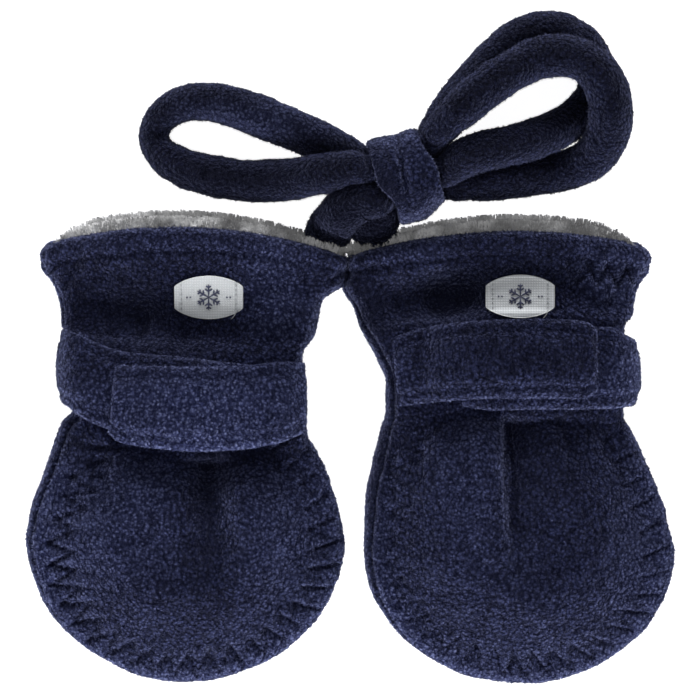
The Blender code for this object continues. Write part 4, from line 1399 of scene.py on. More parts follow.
def zigzag_distance(along, inward, pitch, low, high):
    """How far a place is from a zigzag line between two depths, and which leg is nearest."""
    half = pitch / 2.0
    leg = math.floor(along / half)
    best = (1e9, 0)
    for k in (leg - 1, leg, leg + 1):
        start = (k * half, low if k % 2 == 0 else high)
        end = ((k + 1) * half, high if k % 2 == 0 else low)
        run = (end[0] - start[0], end[1] - start[1])
        t = ((along - start[0]) * run[0] + (inward - start[1]) * run[1]) / (run[0] ** 2 + run[1] ** 2)
        t = min(max(t, 0.0), 1.0)
        gap = math.hypot(along - start[0] - run[0] * t, inward - start[1] - run[1] * t)
        best = min(best, (gap, k))
    return best


def stitch_wander(mitten, line, total):
    """How far the sewing strayed from an even line: along the seam, and in from it."""
    share = line.along / total
    shift = 2.4 * (1.0 - ease((share - 0.2) / 0.22)) if mitten.outer < 0 else 0.8
    along = 1.1 * uneven((line.along, 0.0, 0.0), 21.0, 9.0)
    return along, shift + 0.9 * uneven((line.along, 0.0, 0.0), 12.0, 5.0)


def stitch_strength(mitten, line, leg, total):
    """How deep a leg of the zigzag sinks in: nothing at the cuff, and every other leg is lost in the
    pile on the right of each mitten."""
    share = line.along / total
    strength = 1.0 if leg % 2 else 1.0 - 0.75 * ease((share - 0.52) / 0.14)
    if mitten.outer > 0:
        strength *= 0.75
        strength *= 0.55 + 0.45 * ease((share - 0.36) / 0.1)
    waver = 0.85 + 0.5 * uneven((line.along, 0.0, 0.0), 13.0, 2.0 + mitten.outer)
    strength *= min(max(waver, 0.3), 1.1)
    return strength * ease((line.below - 50.0) / 10.0)


def stitch_relief(mitten, line, run, total):
    """How far the zigzag stitching pulls the front in at a place that far from the seam, and how the
    cloth swells beside it."""
    stray_along, stray_in = stitch_wander(mitten, line, total)
    gap, leg = zigzag_distance(
        line.along - stray_along, run - stray_in, STITCH_PITCH, STITCH_OUTER, STITCH_INNER
    )
    strength = stitch_strength(mitten, line, leg, total)
    groove = hill(gap / STITCH_WIDTH) * strength
    band = ease((STITCH_INNER + stray_in + 3.0 - run) / 4.0) * strength
    swell = 0.4 * band * (1.0 - hill(gap / 1.6))
    return swell - STITCH_DEPTH * groove, groove


def hem_stitch_relief(mitten, line, x):
    """The hem's own zigzag. It shows at the outer corner of the right mitten, and is all but lost in
    the pile elsewhere."""
    if not line.bowed or line.below > 18.0:
        return 0.0, 0.0
    gap, _ = zigzag_distance(x, line.below, HEM_STITCH_PITCH, HEM_STITCH_TOP, HEM_STITCH_FOOT)
    share = ease((x - 56.0) / 10.0) if mitten.outer > 0 else 0.0
    groove = hill(gap / HEM_STITCH_WIDTH) * max(share, HEM_STITCH_FAINT)
    return -1.4 * groove, groove


DOME = 0.22  # how much fuller than the plain form the fine one is, as a share of its rise
RIM_SWELL = 0.55


def dome(line, d):
    """How far the padding fills the front out, d in from the edge: it is steep at the rim and eases
    off all the way to the flat middle."""
    s = line.section
    fullness = (s.top - s.seam - RIM) / 7.0
    if d <= RIM:
        return fullness * RIM_SWELL * max(d / RIM, 0.0) ** 1.5
    t = min((d - RIM) / min(PUFF, line.length - RIM), 1.0)
    return fullness * (RIM_SWELL * (1.0 - ease(t)) + 7.0 * DOME * 4.0 * t * (1.0 - t))


RIM_GLOW = 0.8  # how strong the painted highlight along the tip's rim is
FULL_SHADE_DEPTH = 3.6  # depth of a fold or dip at which its painted shade is full


def painted_hollow_shade(mitten, x, y):
    """How deep a place lies in a fold or a dip, from 0 to 1, which sets the painted shade there."""
    return min(1.0, max(0.0, fold_depth(mitten, x, y) - crease_relief(mitten, x, y)) / FULL_SHADE_DEPTH)


def crease_relief(mitten, x, y):
    """How far the soft creases and ridges move a place on the front out, or, below 0, in."""
    total = 0.0
    for crease in mitten.creases:
        run_x, run_y = crease.x2 - crease.x1, crease.y2 - crease.y1
        t = ((x - crease.x1) * run_x + (y - crease.y1) * run_y) / (run_x**2 + run_y**2)
        nearest = min(max(t, 0.0), 1.0)
        gap = math.hypot(x - crease.x1 - run_x * nearest, y - crease.y1 - run_y * nearest)
        fade = math.sin(math.pi * (0.08 + 0.84 * nearest))
        total -= crease.depth * fade * hill(gap / crease.width)
    return total


def cloth_swell(point, seed):
    """The slow unevenness of soft cloth, which no stitch or strap explains."""
    swell = 0.55 * uneven(point, 19.0, seed) + 0.3 * uneven(point, 7.0, seed)
    return swell + 0.12 * uneven(point, 3.0, seed)


HEM_DEPTH = 7.0  # how far below the mouth the hem is sewn down
ROLLED_EDGE = 1.7  # radius of a shell's edges, which are turned in


def shell_relief(mitten, line, point, seam_run):
    """How far a place on a shell's outside moves out from the plain form. seam_run is how far it is
    from the side seam."""
    moved = cloth_swell(point, 4.0 * mitten.outer)
    moved -= inset(line.below, ROLLED_EDGE) if line.bowed else 0.0
    moved -= inset(seam_run, ROLLED_EDGE)
    if line.bowed:
        moved -= 0.55 * hill((line.below - HEM_DEPTH) / 1.3)
        moved += 0.3 * hill((line.below - HEM_DEPTH / 2.0) / 2.4)
    return moved


def displaced(points, amounts, way):
    """A grid of points moved out along its own normals. way is -1 for a front, whose normals point
    in, and 1 for a back."""
    grid = np.array(points, float)
    return grid + way * grid_normals(grid) * np.array(amounts)[..., None]


FRONT_INNER_COLUMNS = 24  # steps from the spine to the stitching
FRONT_OUTER_COLUMNS = 16  # steps across the stitching to the rim
FRONT_RIM_COLUMNS = 8  # steps round the rim
BAND_DEPTH = 14.0  # how far in from the edge the fine columns start


def front_columns(line):
    """Distances in from the edge, from the spine to the rim."""
    inner = [
        line.length + (BAND_DEPTH - line.length) * k / FRONT_INNER_COLUMNS
        for k in range(FRONT_INNER_COLUMNS)
    ]
    outer = [
        BAND_DEPTH + (RIM - BAND_DEPTH) * k / FRONT_OUTER_COLUMNS
        for k in range(FRONT_OUTER_COLUMNS + 1)
    ]
    return inner + outer


def rim_angles(line, layer, side, steps):
    """The angle at which a shell's layer ends, kept half a gap away from the other shell at the rolled
    seam, and the angles round the rim to it. side is 1 for a front and -1 for a back."""
    end = line.roll + side * math.degrees(math.asin(SEAM_GAP / 2.0 / (RIM - layer)))
    start = side * 90.0
    return end, [start + (end - start) * k / steps for k in range(1, steps + 1)]


def shell_row(line, at, layer, side, steps):
    """A line's points on a shell, at the distances in from the edge and then round the rim."""
    height = line.front if side > 0 else line.back
    angles = rim_angles(line, layer, side, steps)[1]
    return [(*line.place(d), height(d, layer)) for d in at] + [line.rim(a, layer) for a in angles]


def front_relief(mitten, line, point, run, d, total):
    """How far a place on the front moves out, and how much painted shade its stitch grooves and hollows
    get, less a painted highlight along the tip's rim. run is its way to the seam, and d is its
    distance in from the edge."""
    stitch, groove = stitch_relief(mitten, line, run, total)
    hem, hem_groove = hem_stitch_relief(mitten, line, point[0])
    out = shell_relief(mitten, line, point, run) + dome(line, d) + stitch + hem
    out = max(out + crease_relief(mitten, point[0], point[1]), -DEEPEST)
    # Painted shade in the stitch grooves, partly the crushed nap's own darker tone, and in the folds'
    # hollows. The painted highlight along the tip's rim takes it below 0.
    painted_shade = 0.7 * max(groove, hem_groove) + 0.35 * painted_hollow_shade(mitten, point[0], point[1])
    painted_shade -= RIM_GLOW * hill(run / 5.5) * ease(-point[1] / 10.0)
    return out, min(1.0, painted_shade)


def front_shell(mitten, material):
    """The upper fleece panel, with its folds, its creases and its sunken zigzag."""
    lines = lines_of(mitten, MOUTH_REACH["front_shell"])
    total = lines[-1].along
    # sewn gathers each point's painted shade, and below 0 its painted rim highlight.
    outer, amounts, sewn = [], [], []
    for line in lines:
        at = front_columns(line)
        end, angles = rim_angles(line, 0.0, 1, FRONT_RIM_COLUMNS)
        row = shell_row(line, at, 0.0, 1, FRONT_RIM_COLUMNS)
        rim_run = math.radians(90.0 - end) * RIM
        runs = [rim_run + d - RIM for d in at] + [math.radians(angle - end) * RIM for angle in angles]
        depths = at + [RIM * (1.0 - math.cos(math.radians(angle))) for angle in angles]
        reliefs = [front_relief(mitten, line, *place, total) for place in zip(row, runs, depths)]
        outer.append(row)
        amounts.append([out for out, painted_shade in reliefs])
        sewn.append([painted_shade for out, painted_shade in reliefs])
    inner = [
        shell_row(line, front_columns(line)[::COARSE], SHELL, 1, FRONT_RIM_COLUMNS // COARSE)
        for line in lines[::COARSE]
    ]
    points = displaced(outer, amounts, -1.0)
    name = f"{mitten.name}_front_shell_cloth"
    piece, values = wall(name, points, inner, SIDE_ROWS, material, "shell_fleece", sewn)
    mark(piece, "sewn", values)
    mark(piece, "nap", [0.0 if v == INSIDE else 1.0 - 0.6 * min(v, 1.0) for v in values])
    paint_light(piece, SHELL_PAINTED_LIGHT[mitten.name])
    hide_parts(f"{mitten.name}_front_shell")
    return piece, outer


BACK_INNER_COLUMNS = 8
BACK_BEND_COLUMNS = 4
BACK_RIM_COLUMNS = 20
FAR = 99.0  # a run to the seam that is too long to matter


def back_columns(line, inner_count, bend_count):
    """Distances in from the edge, from the spine over the flat and round the bend up to the rim."""
    flat = FLAT_FROM + RIM
    inner = [line.length + (flat - line.length) * k / inner_count for k in range(inner_count)]
    return inner + [flat + (RIM - flat) * k / bend_count for k in range(bend_count + 1)]


def back_shell(mitten, material):
    """The lower fleece panel, flat where it rests. It has no nap there."""
    lines = lines_of(mitten, MOUTH_REACH["back_shell"])
    outer, amounts, marks = [], [], []
    for line in lines:
        at = back_columns(line, BACK_INNER_COLUMNS, BACK_BEND_COLUMNS)
        end, angles = rim_angles(line, 0.0, -1, BACK_RIM_COLUMNS)
        row = shell_row(line, at, 0.0, -1, BACK_RIM_COLUMNS)
        runs = [FAR] * len(at) + [math.radians(end - angle) * RIM for angle in angles]
        moved = []
        for point, run in zip(row, runs):
            free = ease((point[2] - 0.5) / 2.0)
            moved.append(shell_relief(mitten, line, point, run) * free)
        outer.append(row)
        amounts.append(moved)
        marks.append([ease((point[2] - 0.8) / 1.5) for point in row])
    inner = []
    for line in lines[::COARSE]:
        at = back_columns(line, BACK_INNER_COLUMNS // COARSE, BACK_BEND_COLUMNS // COARSE)
        inner.append(shell_row(line, at, SHELL, -1, BACK_RIM_COLUMNS // COARSE))
    points = displaced(outer, amounts, 1.0)
    points[..., 2] = np.maximum(points[..., 2], 0.0)
    name = f"{mitten.name}_back_shell_cloth"
    piece, values = wall(name, points, inner, SIDE_ROWS, material, "shell_fleece", marks)
    turn_out(piece)
    mark(piece, "sewn", [0.0] * len(values))
    mark(piece, "nap", [max(v, 0.0) for v in values])
    paint_light(piece, SHELL_PAINTED_LIGHT[mitten.name])
    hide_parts(f"{mitten.name}_back_shell")
    return piece, outer


# The linings


LINING_LAYER = SHELL + SEAM_GAP  # how deep inside the shell a lining lies
LINING_RIM_ANGLES = (75.0, 60.0, 45.0, 30.0)


def lining(mitten, part, material):
    """A lining's plain ground, which the pile stands on at the mouth."""
    sign = 1.0 if part == "front_lining" else -1.0
    lines = lines_of(mitten, MOUTH_REACH[part])[::2]

    def outside(line):
        height = line.front if sign > 0.0 else line.back
        row = [(*line.place(d), height(d, LINING_LAYER)) for d in front_columns(line)[::2]]
        row += [line.rim(sign * angle, LINING_LAYER) for angle in LINING_RIM_ANGLES]
        return [spread_at_meeting(mitten, *point) for point in row]

    def inside(line):
        at = front_columns(line)[::2]
        at += [RIM - (RIM - LINING_LAYER) * math.cos(math.radians(a)) for a in LINING_RIM_ANGLES]
        row = [(*line.place(d), line.middle(d) + sign * LINING_GAP / 2.0) for d in at]
        return [spread_at_meeting(mitten, *point) for point in row]

    outer = [outside(line) for line in lines]
    inner = [inside(line)[::COARSE] for line in lines[::COARSE]]
    below = [[ease((5.0 - line.below) / 2.0) if line.bowed else 0.0] * len(outer[0]) for line in lines]
    name = f"{mitten.name}_{part}_ground"
    piece, values = wall(name, outer, inner, SIDE_ROWS // 2, material, "lining_pile", below)
    turn_out(piece)
    mark(piece, "nap", [max(v, 0.0) for v in values])
    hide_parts(f"{mitten.name}_{part}")
    return piece, outer


# Strands of nap and pile


def short_strand(tree):
    """One long thin triangle, a unit high and a unit wide, with its root at the origin."""
    flat = add(tree, "GeometryNodeMeshCircle", {"Vertices": 3, "Radius": 0.6667}, fill_type="NGON")
    return add(
        tree,
        "GeometryNodeTransform",
        {
            "Geometry": flat.outputs["Mesh"],
            "Translation": (0.0, 0.0, 0.2),
            "Rotation": (0.0, -math.pi / 2.0, 0.0),
            "Scale": (1.0, 0.87, 1.0),
        },
    ).outputs["Geometry"]


def curled_strand(tree):
    """A bent ribbon, a unit high and a unit wide, with its root at the origin."""
    bend = add(
        tree,
        "GeometryNodeCurveQuadraticBezier",
        {
            "Resolution": 3,
            "Start": (0.0, 0.0, -0.05),
            "Middle": (0.0, 1.6, 0.55),
            "End": (0.0, 0.4, 1.0),
        },
    )
    flat = add(
        tree, "GeometryNodeCurvePrimitiveLine", {"Start": (-0.5, 0.0, 0.0), "End": (0.5, 0.0, 0.0)}
    )
    return add(
        tree,
        "GeometryNodeCurveToMesh",
        {"Curve": bend.outputs["Curve"], "Profile Curve": flat.outputs["Curve"]},
    ).outputs["Mesh"]


LOOSE_STRAY = 0.4  # how far single strands lean out of their clump's way
STRAND_ROLL = 6.283  # a strand may be rolled about itself by up to a whole turn
STRAND_SIZES = (0.55, 1.25)  # the smallest and the largest strand, as a share of the given size

STRAND_INPUTS = (
    ("Strands per square metre", "NodeSocketFloat"),
    ("Length", "NodeSocketFloat"),
    ("Width", "NodeSocketFloat"),
    ("Lean", "NodeSocketFloat"),
    ("Clump scale", "NodeSocketFloat"),
    ("Pull", "NodeSocketVector"),
    ("Seed", "NodeSocketInt"),
    ("Material", "NodeSocketMaterial"),
)


def strand_way(tree, given, normal):
    """The way each strand points: out, with the pull, and leaning as its clump does. Also how far it
    strays from its clump."""
    place = add(tree, "GeometryNodeInputPosition").outputs["Position"]
    clump = add(
        tree, "ShaderNodeTexNoise", {"Vector": place, "Scale": given["Clump scale"], "Detail": 1.0}
    )
    centred = add(
        tree,
        "ShaderNodeVectorMath",
        {0: clump.outputs["Color"], 1: (0.5, 0.5, 0.5)},
        operation="SUBTRACT",
    )
    stray = add(
        tree,
        "FunctionNodeRandomValue",
        {"Min": (-LOOSE_STRAY,) * 3, "Max": (LOOSE_STRAY,) * 3, "Seed": given["Seed"]},
        data_type="FLOAT_VECTOR",
    )
    lean = add(
        tree,
        "ShaderNodeVectorMath",
        {0: centred.outputs["Vector"], 1: (4.0, 4.0, 4.0), 2: stray.outputs["Value"]},
        operation="MULTIPLY_ADD",
    )
    leaned = add(
        tree,
        "ShaderNodeVectorMath",
        {0: lean.outputs["Vector"], "Scale": given["Lean"]},
        operation="SCALE",
    )
    up = add(tree, "ShaderNodeVectorMath", {0: normal, 1: given["Pull"]}, operation="ADD")
    way = add(
        tree,
        "ShaderNodeVectorMath",
        {0: up.outputs["Vector"], 1: leaned.outputs["Vector"]},
        operation="ADD",
    )
    return way.outputs["Vector"], stray.outputs["Value"]


def strand_turn(tree, given, way):
    """The turn that stands a strand up that way, rolled at random about itself."""
    aligned = add(tree, "FunctionNodeAlignRotationToVector", {"Vector": way}, axis="Z")
    roll = add(
        tree,
        "FunctionNodeRandomValue",
        {2: 0.0, 3: STRAND_ROLL, "Seed": given["Seed"]},
        data_type="FLOAT",
    )
    twist = add(
        tree, "FunctionNodeAxisAngleToRotation", {"Axis": (0.0, 0.0, 1.0), "Angle": roll.outputs[1]}
    )
    turned = add(
        tree,
        "FunctionNodeRotateRotation",
        {"Rotation": aligned.outputs["Rotation"], "Rotate By": twist.outputs["Rotation"]},
        rotation_space="LOCAL",
    )
    return turned.outputs["Rotation"]


def strand_tree(name, strand_maker):
    """Strands that stand on a surface where its nap attribute is above 0. Neighbours lean the same
    way, which makes soft clumps with dark partings."""
    tree = bpy.data.node_groups.new(name, "GeometryNodeTree")
    face = tree.interface
    face.new_socket("Geometry", in_out="INPUT", socket_type="NodeSocketGeometry")
    for label, kind in STRAND_INPUTS:
        face.new_socket(label, in_out="INPUT", socket_type=kind)
    face.new_socket("Geometry", in_out="OUTPUT", socket_type="NodeSocketGeometry")
    given = add(tree, "NodeGroupInput").outputs
    nap = add(tree, "GeometryNodeInputNamedAttribute", {"Name": "nap"}, data_type="FLOAT")
    density = add(
        tree,
        "ShaderNodeMath",
        {0: given["Strands per square metre"], 1: nap.outputs["Attribute"]},
        operation="MULTIPLY",
    )
    spread = add(
        tree,
        "GeometryNodeDistributePointsOnFaces",
        {"Mesh": given["Geometry"], "Density": density.outputs["Value"], "Seed": given["Seed"]},
        distribute_method="RANDOM",
    )
    way, stray = strand_way(tree, given, spread.outputs["Normal"])
    size = add(
        tree,
        "FunctionNodeRandomValue",
        {2: STRAND_SIZES[0], 3: STRAND_SIZES[1], "Seed": given["Seed"]},
        data_type="FLOAT",
    )
    shape = add(
        tree, "ShaderNodeCombineXYZ", {"X": given["Width"], "Y": given["Width"], "Z": given["Length"]}
    )
    sized = add(
        tree,
        "GeometryNodeTransform",
        {"Geometry": strand_maker(tree), "Scale": shape.outputs["Vector"]},
    )
    facing = add(
        tree,
        "ShaderNodeVectorMath",
        {0: stray, 1: (1.2, 1.2, 1.2), 2: spread.outputs["Normal"]},
        operation="MULTIPLY_ADD",
    )
    rooted = add(
        tree,
        "GeometryNodeStoreNamedAttribute",
        {
            "Geometry": spread.outputs["Points"],
            "Name": "ground_normal",
            "Value": facing.outputs["Vector"],
        },
        data_type="FLOAT_VECTOR",
        domain="POINT",
    )
    placed = add(
        tree,
        "GeometryNodeInstanceOnPoints",
        {
            "Points": rooted.outputs["Geometry"],
            "Instance": sized.outputs["Geometry"],
            "Rotation": strand_turn(tree, given, way),
            "Scale": size.outputs[1],
        },
    )
    real = add(tree, "GeometryNodeRealizeInstances", {"Geometry": placed.outputs["Instances"]})
    done = add(
        tree,
        "GeometryNodeSetMaterial",
        {"Geometry": real.outputs["Geometry"], "Material": given["Material"]},
    )
    add(tree, "NodeGroupOutput", {"Geometry": done.outputs["Geometry"]})
    return tree


# density is in strands per square millimetre, and clump is the size of a clump.
Growth = namedtuple("Growth", "density length width lean clump pull seed")


def grow(name, ground, tree, growth, material, slot):
    """Strands on a piece, as one plain mesh."""
    carrier = bpy.data.objects.new(name, ground.data.copy())
    bpy.context.scene.collection.objects.link(carrier)
    modifier = carrier.modifiers.new("strands", "NODES")
    modifier.node_group = tree
    values = {
        "Strands per square metre": growth.density * 1e6,
        "Length": growth.length * MM,
        "Width": growth.width * MM,
        "Lean": growth.lean,
        "Clump scale": per_mm(growth.clump),
        "Pull": growth.pull,
        "Seed": growth.seed,
        "Material": material,
    }
    for item in tree.interface.items_tree:
        if item.in_out == "INPUT" and item.name in values:
            modifier[item.identifier] = values[item.name]
    bpy.context.view_layer.update()
    evaluated = carrier.evaluated_get(bpy.context.evaluated_depsgraph_get())
    mesh = bpy.data.meshes.new_from_object(evaluated)
    mesh.name = name
    bpy.data.objects.remove(carrier, do_unlink=True)
    return shown(name, mesh, slot)


# The straps and the labels


HALVINGS = 20  # steps in which the section through a place is found


def front_height(mitten, x, y):
    """Height of the front shell's outside at a place between its mouth and its widest section."""
    low, high = 0.0, len(mitten.sections) - 1.0
    for _ in range(HALVINGS):
        at = (low + high) / 2.0
        if bow(section_at(mitten, at), x) > y:
            low = at
        else:
            high = at
    section = section_at(mitten, low)
    edge_x = section.left_x if x < mitten.spine_x else section.right_x
    line = Line(mitten, section, (edge_x, y), (mitten.spine_x, y), 0.0, True, 0.0)
    d = (x - edge_x) * (1.0 if x < mitten.spine_x else -1.0)
    if d >= RIM:
        return line.front(d, 0.0)
    return section.seam + math.sqrt(max(RIM**2 - (RIM - max(d, 0.3)) ** 2, 0.0))


STRAP_RAILS = (0.0, 0.045, 0.14, 0.5, 0.86, 0.955, 1.0)  # places across a strap that are worked out
STRAP_ROUND = 1.9  # radius of a strap's soft edges
STRAP_CROWN = 1.1  # how much higher a strap's middle stands than the cloth beside its edges
STRAP_SLOPE = 6.5  # how far in from its edge a strap reaches that height
STRAP_SEWN = 3.2  # how far in from its edge a strap is sewn down
STRAP_STEP = 0.8
STRAP_COLUMNS = 32


def lap_lift(mitten, x):
    """How far the underlap lifts the tab at x: nothing past the underlap's end."""
    inwards = (x - mitten.strap.lap_end) * mitten.outer
    return (STRAP + STRAP_SEAT) * ease((inwards + 12.0) / 12.0)


def slope_out(mitten, x, y, lift):
    """The unit direction out of the front, across the mitten."""
    step = 0.4
    rise = front_height(mitten, x + step, y) - front_height(mitten, x - step, y)
    rise += lift(x + step) - lift(x - step)
    slope = max(-1.2, min(1.2, rise / (2.0 * step)))
    size = math.hypot(1.0, slope)
    return (-slope / size, 0.0, 1.0 / size)


def on_front(mitten, places, x, end_x, corner, slant, lift):
    """A band's station on the front of the mitten at x: its middle and its way out at a place
    across."""

    def station(place):
        low, high = edges_at(places, x)
        corner_inset = inset(abs(x - end_x), corner)
        low, high = low + corner_inset, high - corner_inset
        y = low + (high - low) * place
        near = max(0.0, 1.0 - abs(x - end_x) / 12.0) if slant else 0.0
        at_x = x + slant * (place - 0.5) * near
        out = slope_out(mitten, at_x, y, lift)
        away = STRAP_SEAT + STRAP / 2.0
        z = front_height(mitten, at_x, y) + lift(at_x)
        return (at_x + out[0] * away, y, z + out[2] * away), out

    return station


def spaced(start, end, step):
    """Even places from start to end, about a step apart."""
    count = max(1, round(abs(end - start) / step))
    return [start + (end - start) * k / count for k in range(count + 1)]


def band(name, stations, material, slot, seed):
    """A padded band of cloth through stations, with round edges and ends, and its outside's points."""
    middles = np.array([[station(p)[0] for p in STRAP_RAILS] for station in stations])
    outs = np.array([[station(p)[1] for p in STRAP_RAILS] for station in stations])
    run = np.concatenate(([0.0], np.cumsum(steps_along(middles[:, STRAP_RAILS.index(0.5)]))))
    count = round(run[-1] / STRAP_STEP)
    ends = 0.5 - 0.5 * np.cos(np.linspace(0.0, math.pi, count + 1))
    at = run[-1] * (0.75 * np.linspace(0.0, 1.0, count + 1) + 0.25 * ends)
    across = 0.5 - 0.5 * np.cos(np.linspace(0.0, math.pi, STRAP_COLUMNS + 1))
    fine = through(middles, run, at)
    fine_out = through(outs, run, at)
    fine = through(fine.transpose(1, 0, 2), STRAP_RAILS, across).transpose(1, 0, 2)
    fine_out = through(fine_out.transpose(1, 0, 2), STRAP_RAILS, across).transpose(1, 0, 2)
    fine_out /= np.linalg.norm(fine_out, axis=2, keepdims=True)
    outer, inner = [], []
    for r, (row, ways) in enumerate(zip(fine, fine_out)):
        width = np.linalg.norm(row[-1] - row[0])
        from_end = min(at[r], run[-1] - at[r])
        end_thin = rounded(from_end, STRAP_ROUND, 0.02)
        top, bottom = [], []
        for c, (middle, out) in enumerate(zip(row, ways)):
            from_edge = min(across[c], 1.0 - across[c]) * width
            thin = min(end_thin, rounded(from_edge, STRAP_ROUND, 0.01))
            half = STRAP / 2.0 * thin
            swell = 0.42 * uneven(middle, 11.0, seed) + 0.2 * uneven(middle, 4.5, seed)
            swell += STRAP_CROWN * (ease(from_edge / STRAP_SLOPE) - 0.5)
            sewn = -0.3 * hill((from_edge - STRAP_SEWN) / 0.9)
            top.append(middle + out * (half + (swell + sewn) * thin))
            bottom.append(middle - out * half)
        outer.append(top)
        inner.append(bottom)
    piece = plate(name, outer, inner, material, slot)
    shift = len(outer) * len(outer[0])
    mark(piece, "sewn", [0.0] * (2 * shift))
    mark(piece, "nap", [1.0] * shift + [0.0] * shift)
    return piece, outer


TAB_END_STEPS = (0.0, 0.35, 1.4, 3.4)  # closer stations at the tab's free end and at its seam
TAB_SEAM_STEPS = (2.4, 1.1, 0.0)


def tab(mitten, material):
    """The strap's tab: from the inner side seam over the underlap, to its free end."""
    strap = mitten.strap
    free = strap.tab[0].x if mitten.outer < 0 else strap.tab[-1].x
    sewn = strap.tab[-1].x if mitten.outer < 0 else strap.tab[0].x
    towards = 1.0 if sewn > free else -1.0

    def lift(x):
        return lap_lift(mitten, x)

    ends = [free + towards * step for step in TAB_END_STEPS]
    middle = spaced(free + towards * 6.5, sewn - towards * 4.0, 5.2)
    rim = [sewn - towards * step for step in TAB_SEAM_STEPS]
    stations = []
    for x in ends + middle + rim:
        near_end = abs(x - sewn) < 14.0
        slant = strap.tab_slant if near_end == (mitten.outer > 0) else 0.0
        corner = strap.tab_corner if abs(x - free) < strap.tab_corner else 0.0
        end_x = sewn if near_end else free
        stations.append(on_front(mitten, strap.tab, x, end_x, corner, slant, lift))
    name = f"{mitten.name}_tab_cloth"
    piece, outer = band(name, stations, material, "strap_fleece", 6.0 + mitten.outer)
    paint_light(piece, STRAP_PAINTED_LIGHT[mitten.name])
    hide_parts(f"{mitten.name}_strap_tab")
    return piece, outer


def rest_on_table(piece):
    """Press a piece flat where it rests on the table, and leave the nap off there."""
    nap = piece.data.attributes["nap"].data
    for vertex in piece.data.vertices:
        height = vertex.co.z / MM
        nap[vertex.index].value *= ease((height - 0.4) / 1.5)
        vertex.co.z = max(height, 0.0) * MM


def lap(mitten, material):
    """The strap's back stretch: under the wrist, round the outer side, and onto the front, where its
    end is the underlap."""
    strap = mitten.strap
    side = mitten.outer
    wrist = mitten.sections[6]
    edge_x = wrist.left_x if side < 0 else wrist.right_x
    hub_x = edge_x - side * RIM
    away = STRAP_SEAT + STRAP / 2.0

    def under(x):
        def station(place):
            low, high = edges_at(strap.under, x)
            return (x, low + (high - low) * place, wrist.bottom - away), (0.0, 0.0, -1.0)

        return station

    def turned(angle):
        share = (math.sin(angle) + 1.0) / 2.0
        bulge = math.cos(angle)
        start = edges_at(strap.under, hub_x)
        end = edges_at(strap.lap, hub_x)

        def station(place):
            low = (start[0] * (1 - share) + end[0] * share) * (1 - bulge) + strap.turn.low * bulge
            high = (start[1] * (1 - share) + end[1] * share) * (1 - bulge) + strap.turn.high * bulge
            out = (side * math.cos(angle), 0.0, math.sin(angle))
            x = hub_x + out[0] * (RIM + away)
            z = wrist.seam + out[2] * (RIM + away)
            return (x, low + (high - low) * place, z), out

        return station

    def flat(x):
        return 0.0

    stations = [under(x) for x in spaced(strap.under_end, hub_x - side, 9.0)]
    stations += [turned(math.radians(angle)) for angle in range(-90, 91, 30)]
    for x in spaced(hub_x - side * 2.5, strap.lap_end + side * 1.2, 6.5):
        stations.append(on_front(mitten, strap.lap, x, x, 0.0, 0.0, flat))
    stations.append(on_front(mitten, strap.lap, strap.lap_end, 0.0, 0.0, 0.0, flat))
    name = f"{mitten.name}_lap_cloth"
    piece, outer = band(name, stations, material, "strap_fleece", 9.0 + mitten.outer)
    rest_on_table(piece)
    paint_light(piece, STRAP_PAINTED_LIGHT[mitten.name])
    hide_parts(f"{mitten.name}_strap_underlap")
    return piece, outer


LABEL_ROWS = 48
LABEL_RAILS = 32
LABEL_LIFT = 0.9  # from the shell's plain form to the label's outside, over the swell and the nap
LABEL_THICKNESS = 0.5
LABEL_STITCH_IN = 1.9  # how far in from the label's ends it is sewn on
LABEL_STITCH = 0.8
LABEL_STITCH_GAP = 0.45
LABEL_STITCHES = 6
LABEL_STITCH_LOW = 3.4  # how far below the label's middle the stitches start


def label_height(mitten, x, y):
    """Height of the label's outside."""
    return front_height(mitten, x, y) + LABEL_LIFT + 0.12 * uneven((x, y, 0.0), 5.0, 2.0)


def label(mitten, material):
    """A barrel-shaped woven label with straight ends, laid on the cuff."""
    half = LABEL_LENGTH / 2.0
    tops, bottoms = [], []
    for k in range(LABEL_ROWS + 1):
        t = -1.0 + 2.0 * k / LABEL_ROWS
        x = mitten.label_x + half * t
        belly = (LABEL_MIDDLE_HEIGHT - LABEL_END_HEIGHT) * max(1.0 - t * t, 0.0) ** 0.8
        tall = LABEL_END_HEIGHT + belly
        top, bottom = [], []
        for r in range(LABEL_RAILS + 1):
            place = r / LABEL_RAILS
            y = mitten.label_y + tall * (place - 0.5)
            from_end = half * (1.0 - abs(t))
            edge = min(min(place, 1.0 - place) * tall, from_end)
            sewn = 0.18 * hill((from_end - LABEL_STITCH_IN) / 0.5)
            z = label_height(mitten, x, y) - 0.25 * math.exp(-edge / 0.7) - sewn
            top.append((x, y, z))
            bottom.append((x, y, z - LABEL_THICKNESS))
        tops.append(top)
        bottoms.append(bottom)
    piece = plate(f"{mitten.name}_label_cloth", tops, bottoms, material, "woven_label")
    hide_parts(f"{mitten.name}_label")
    return piece


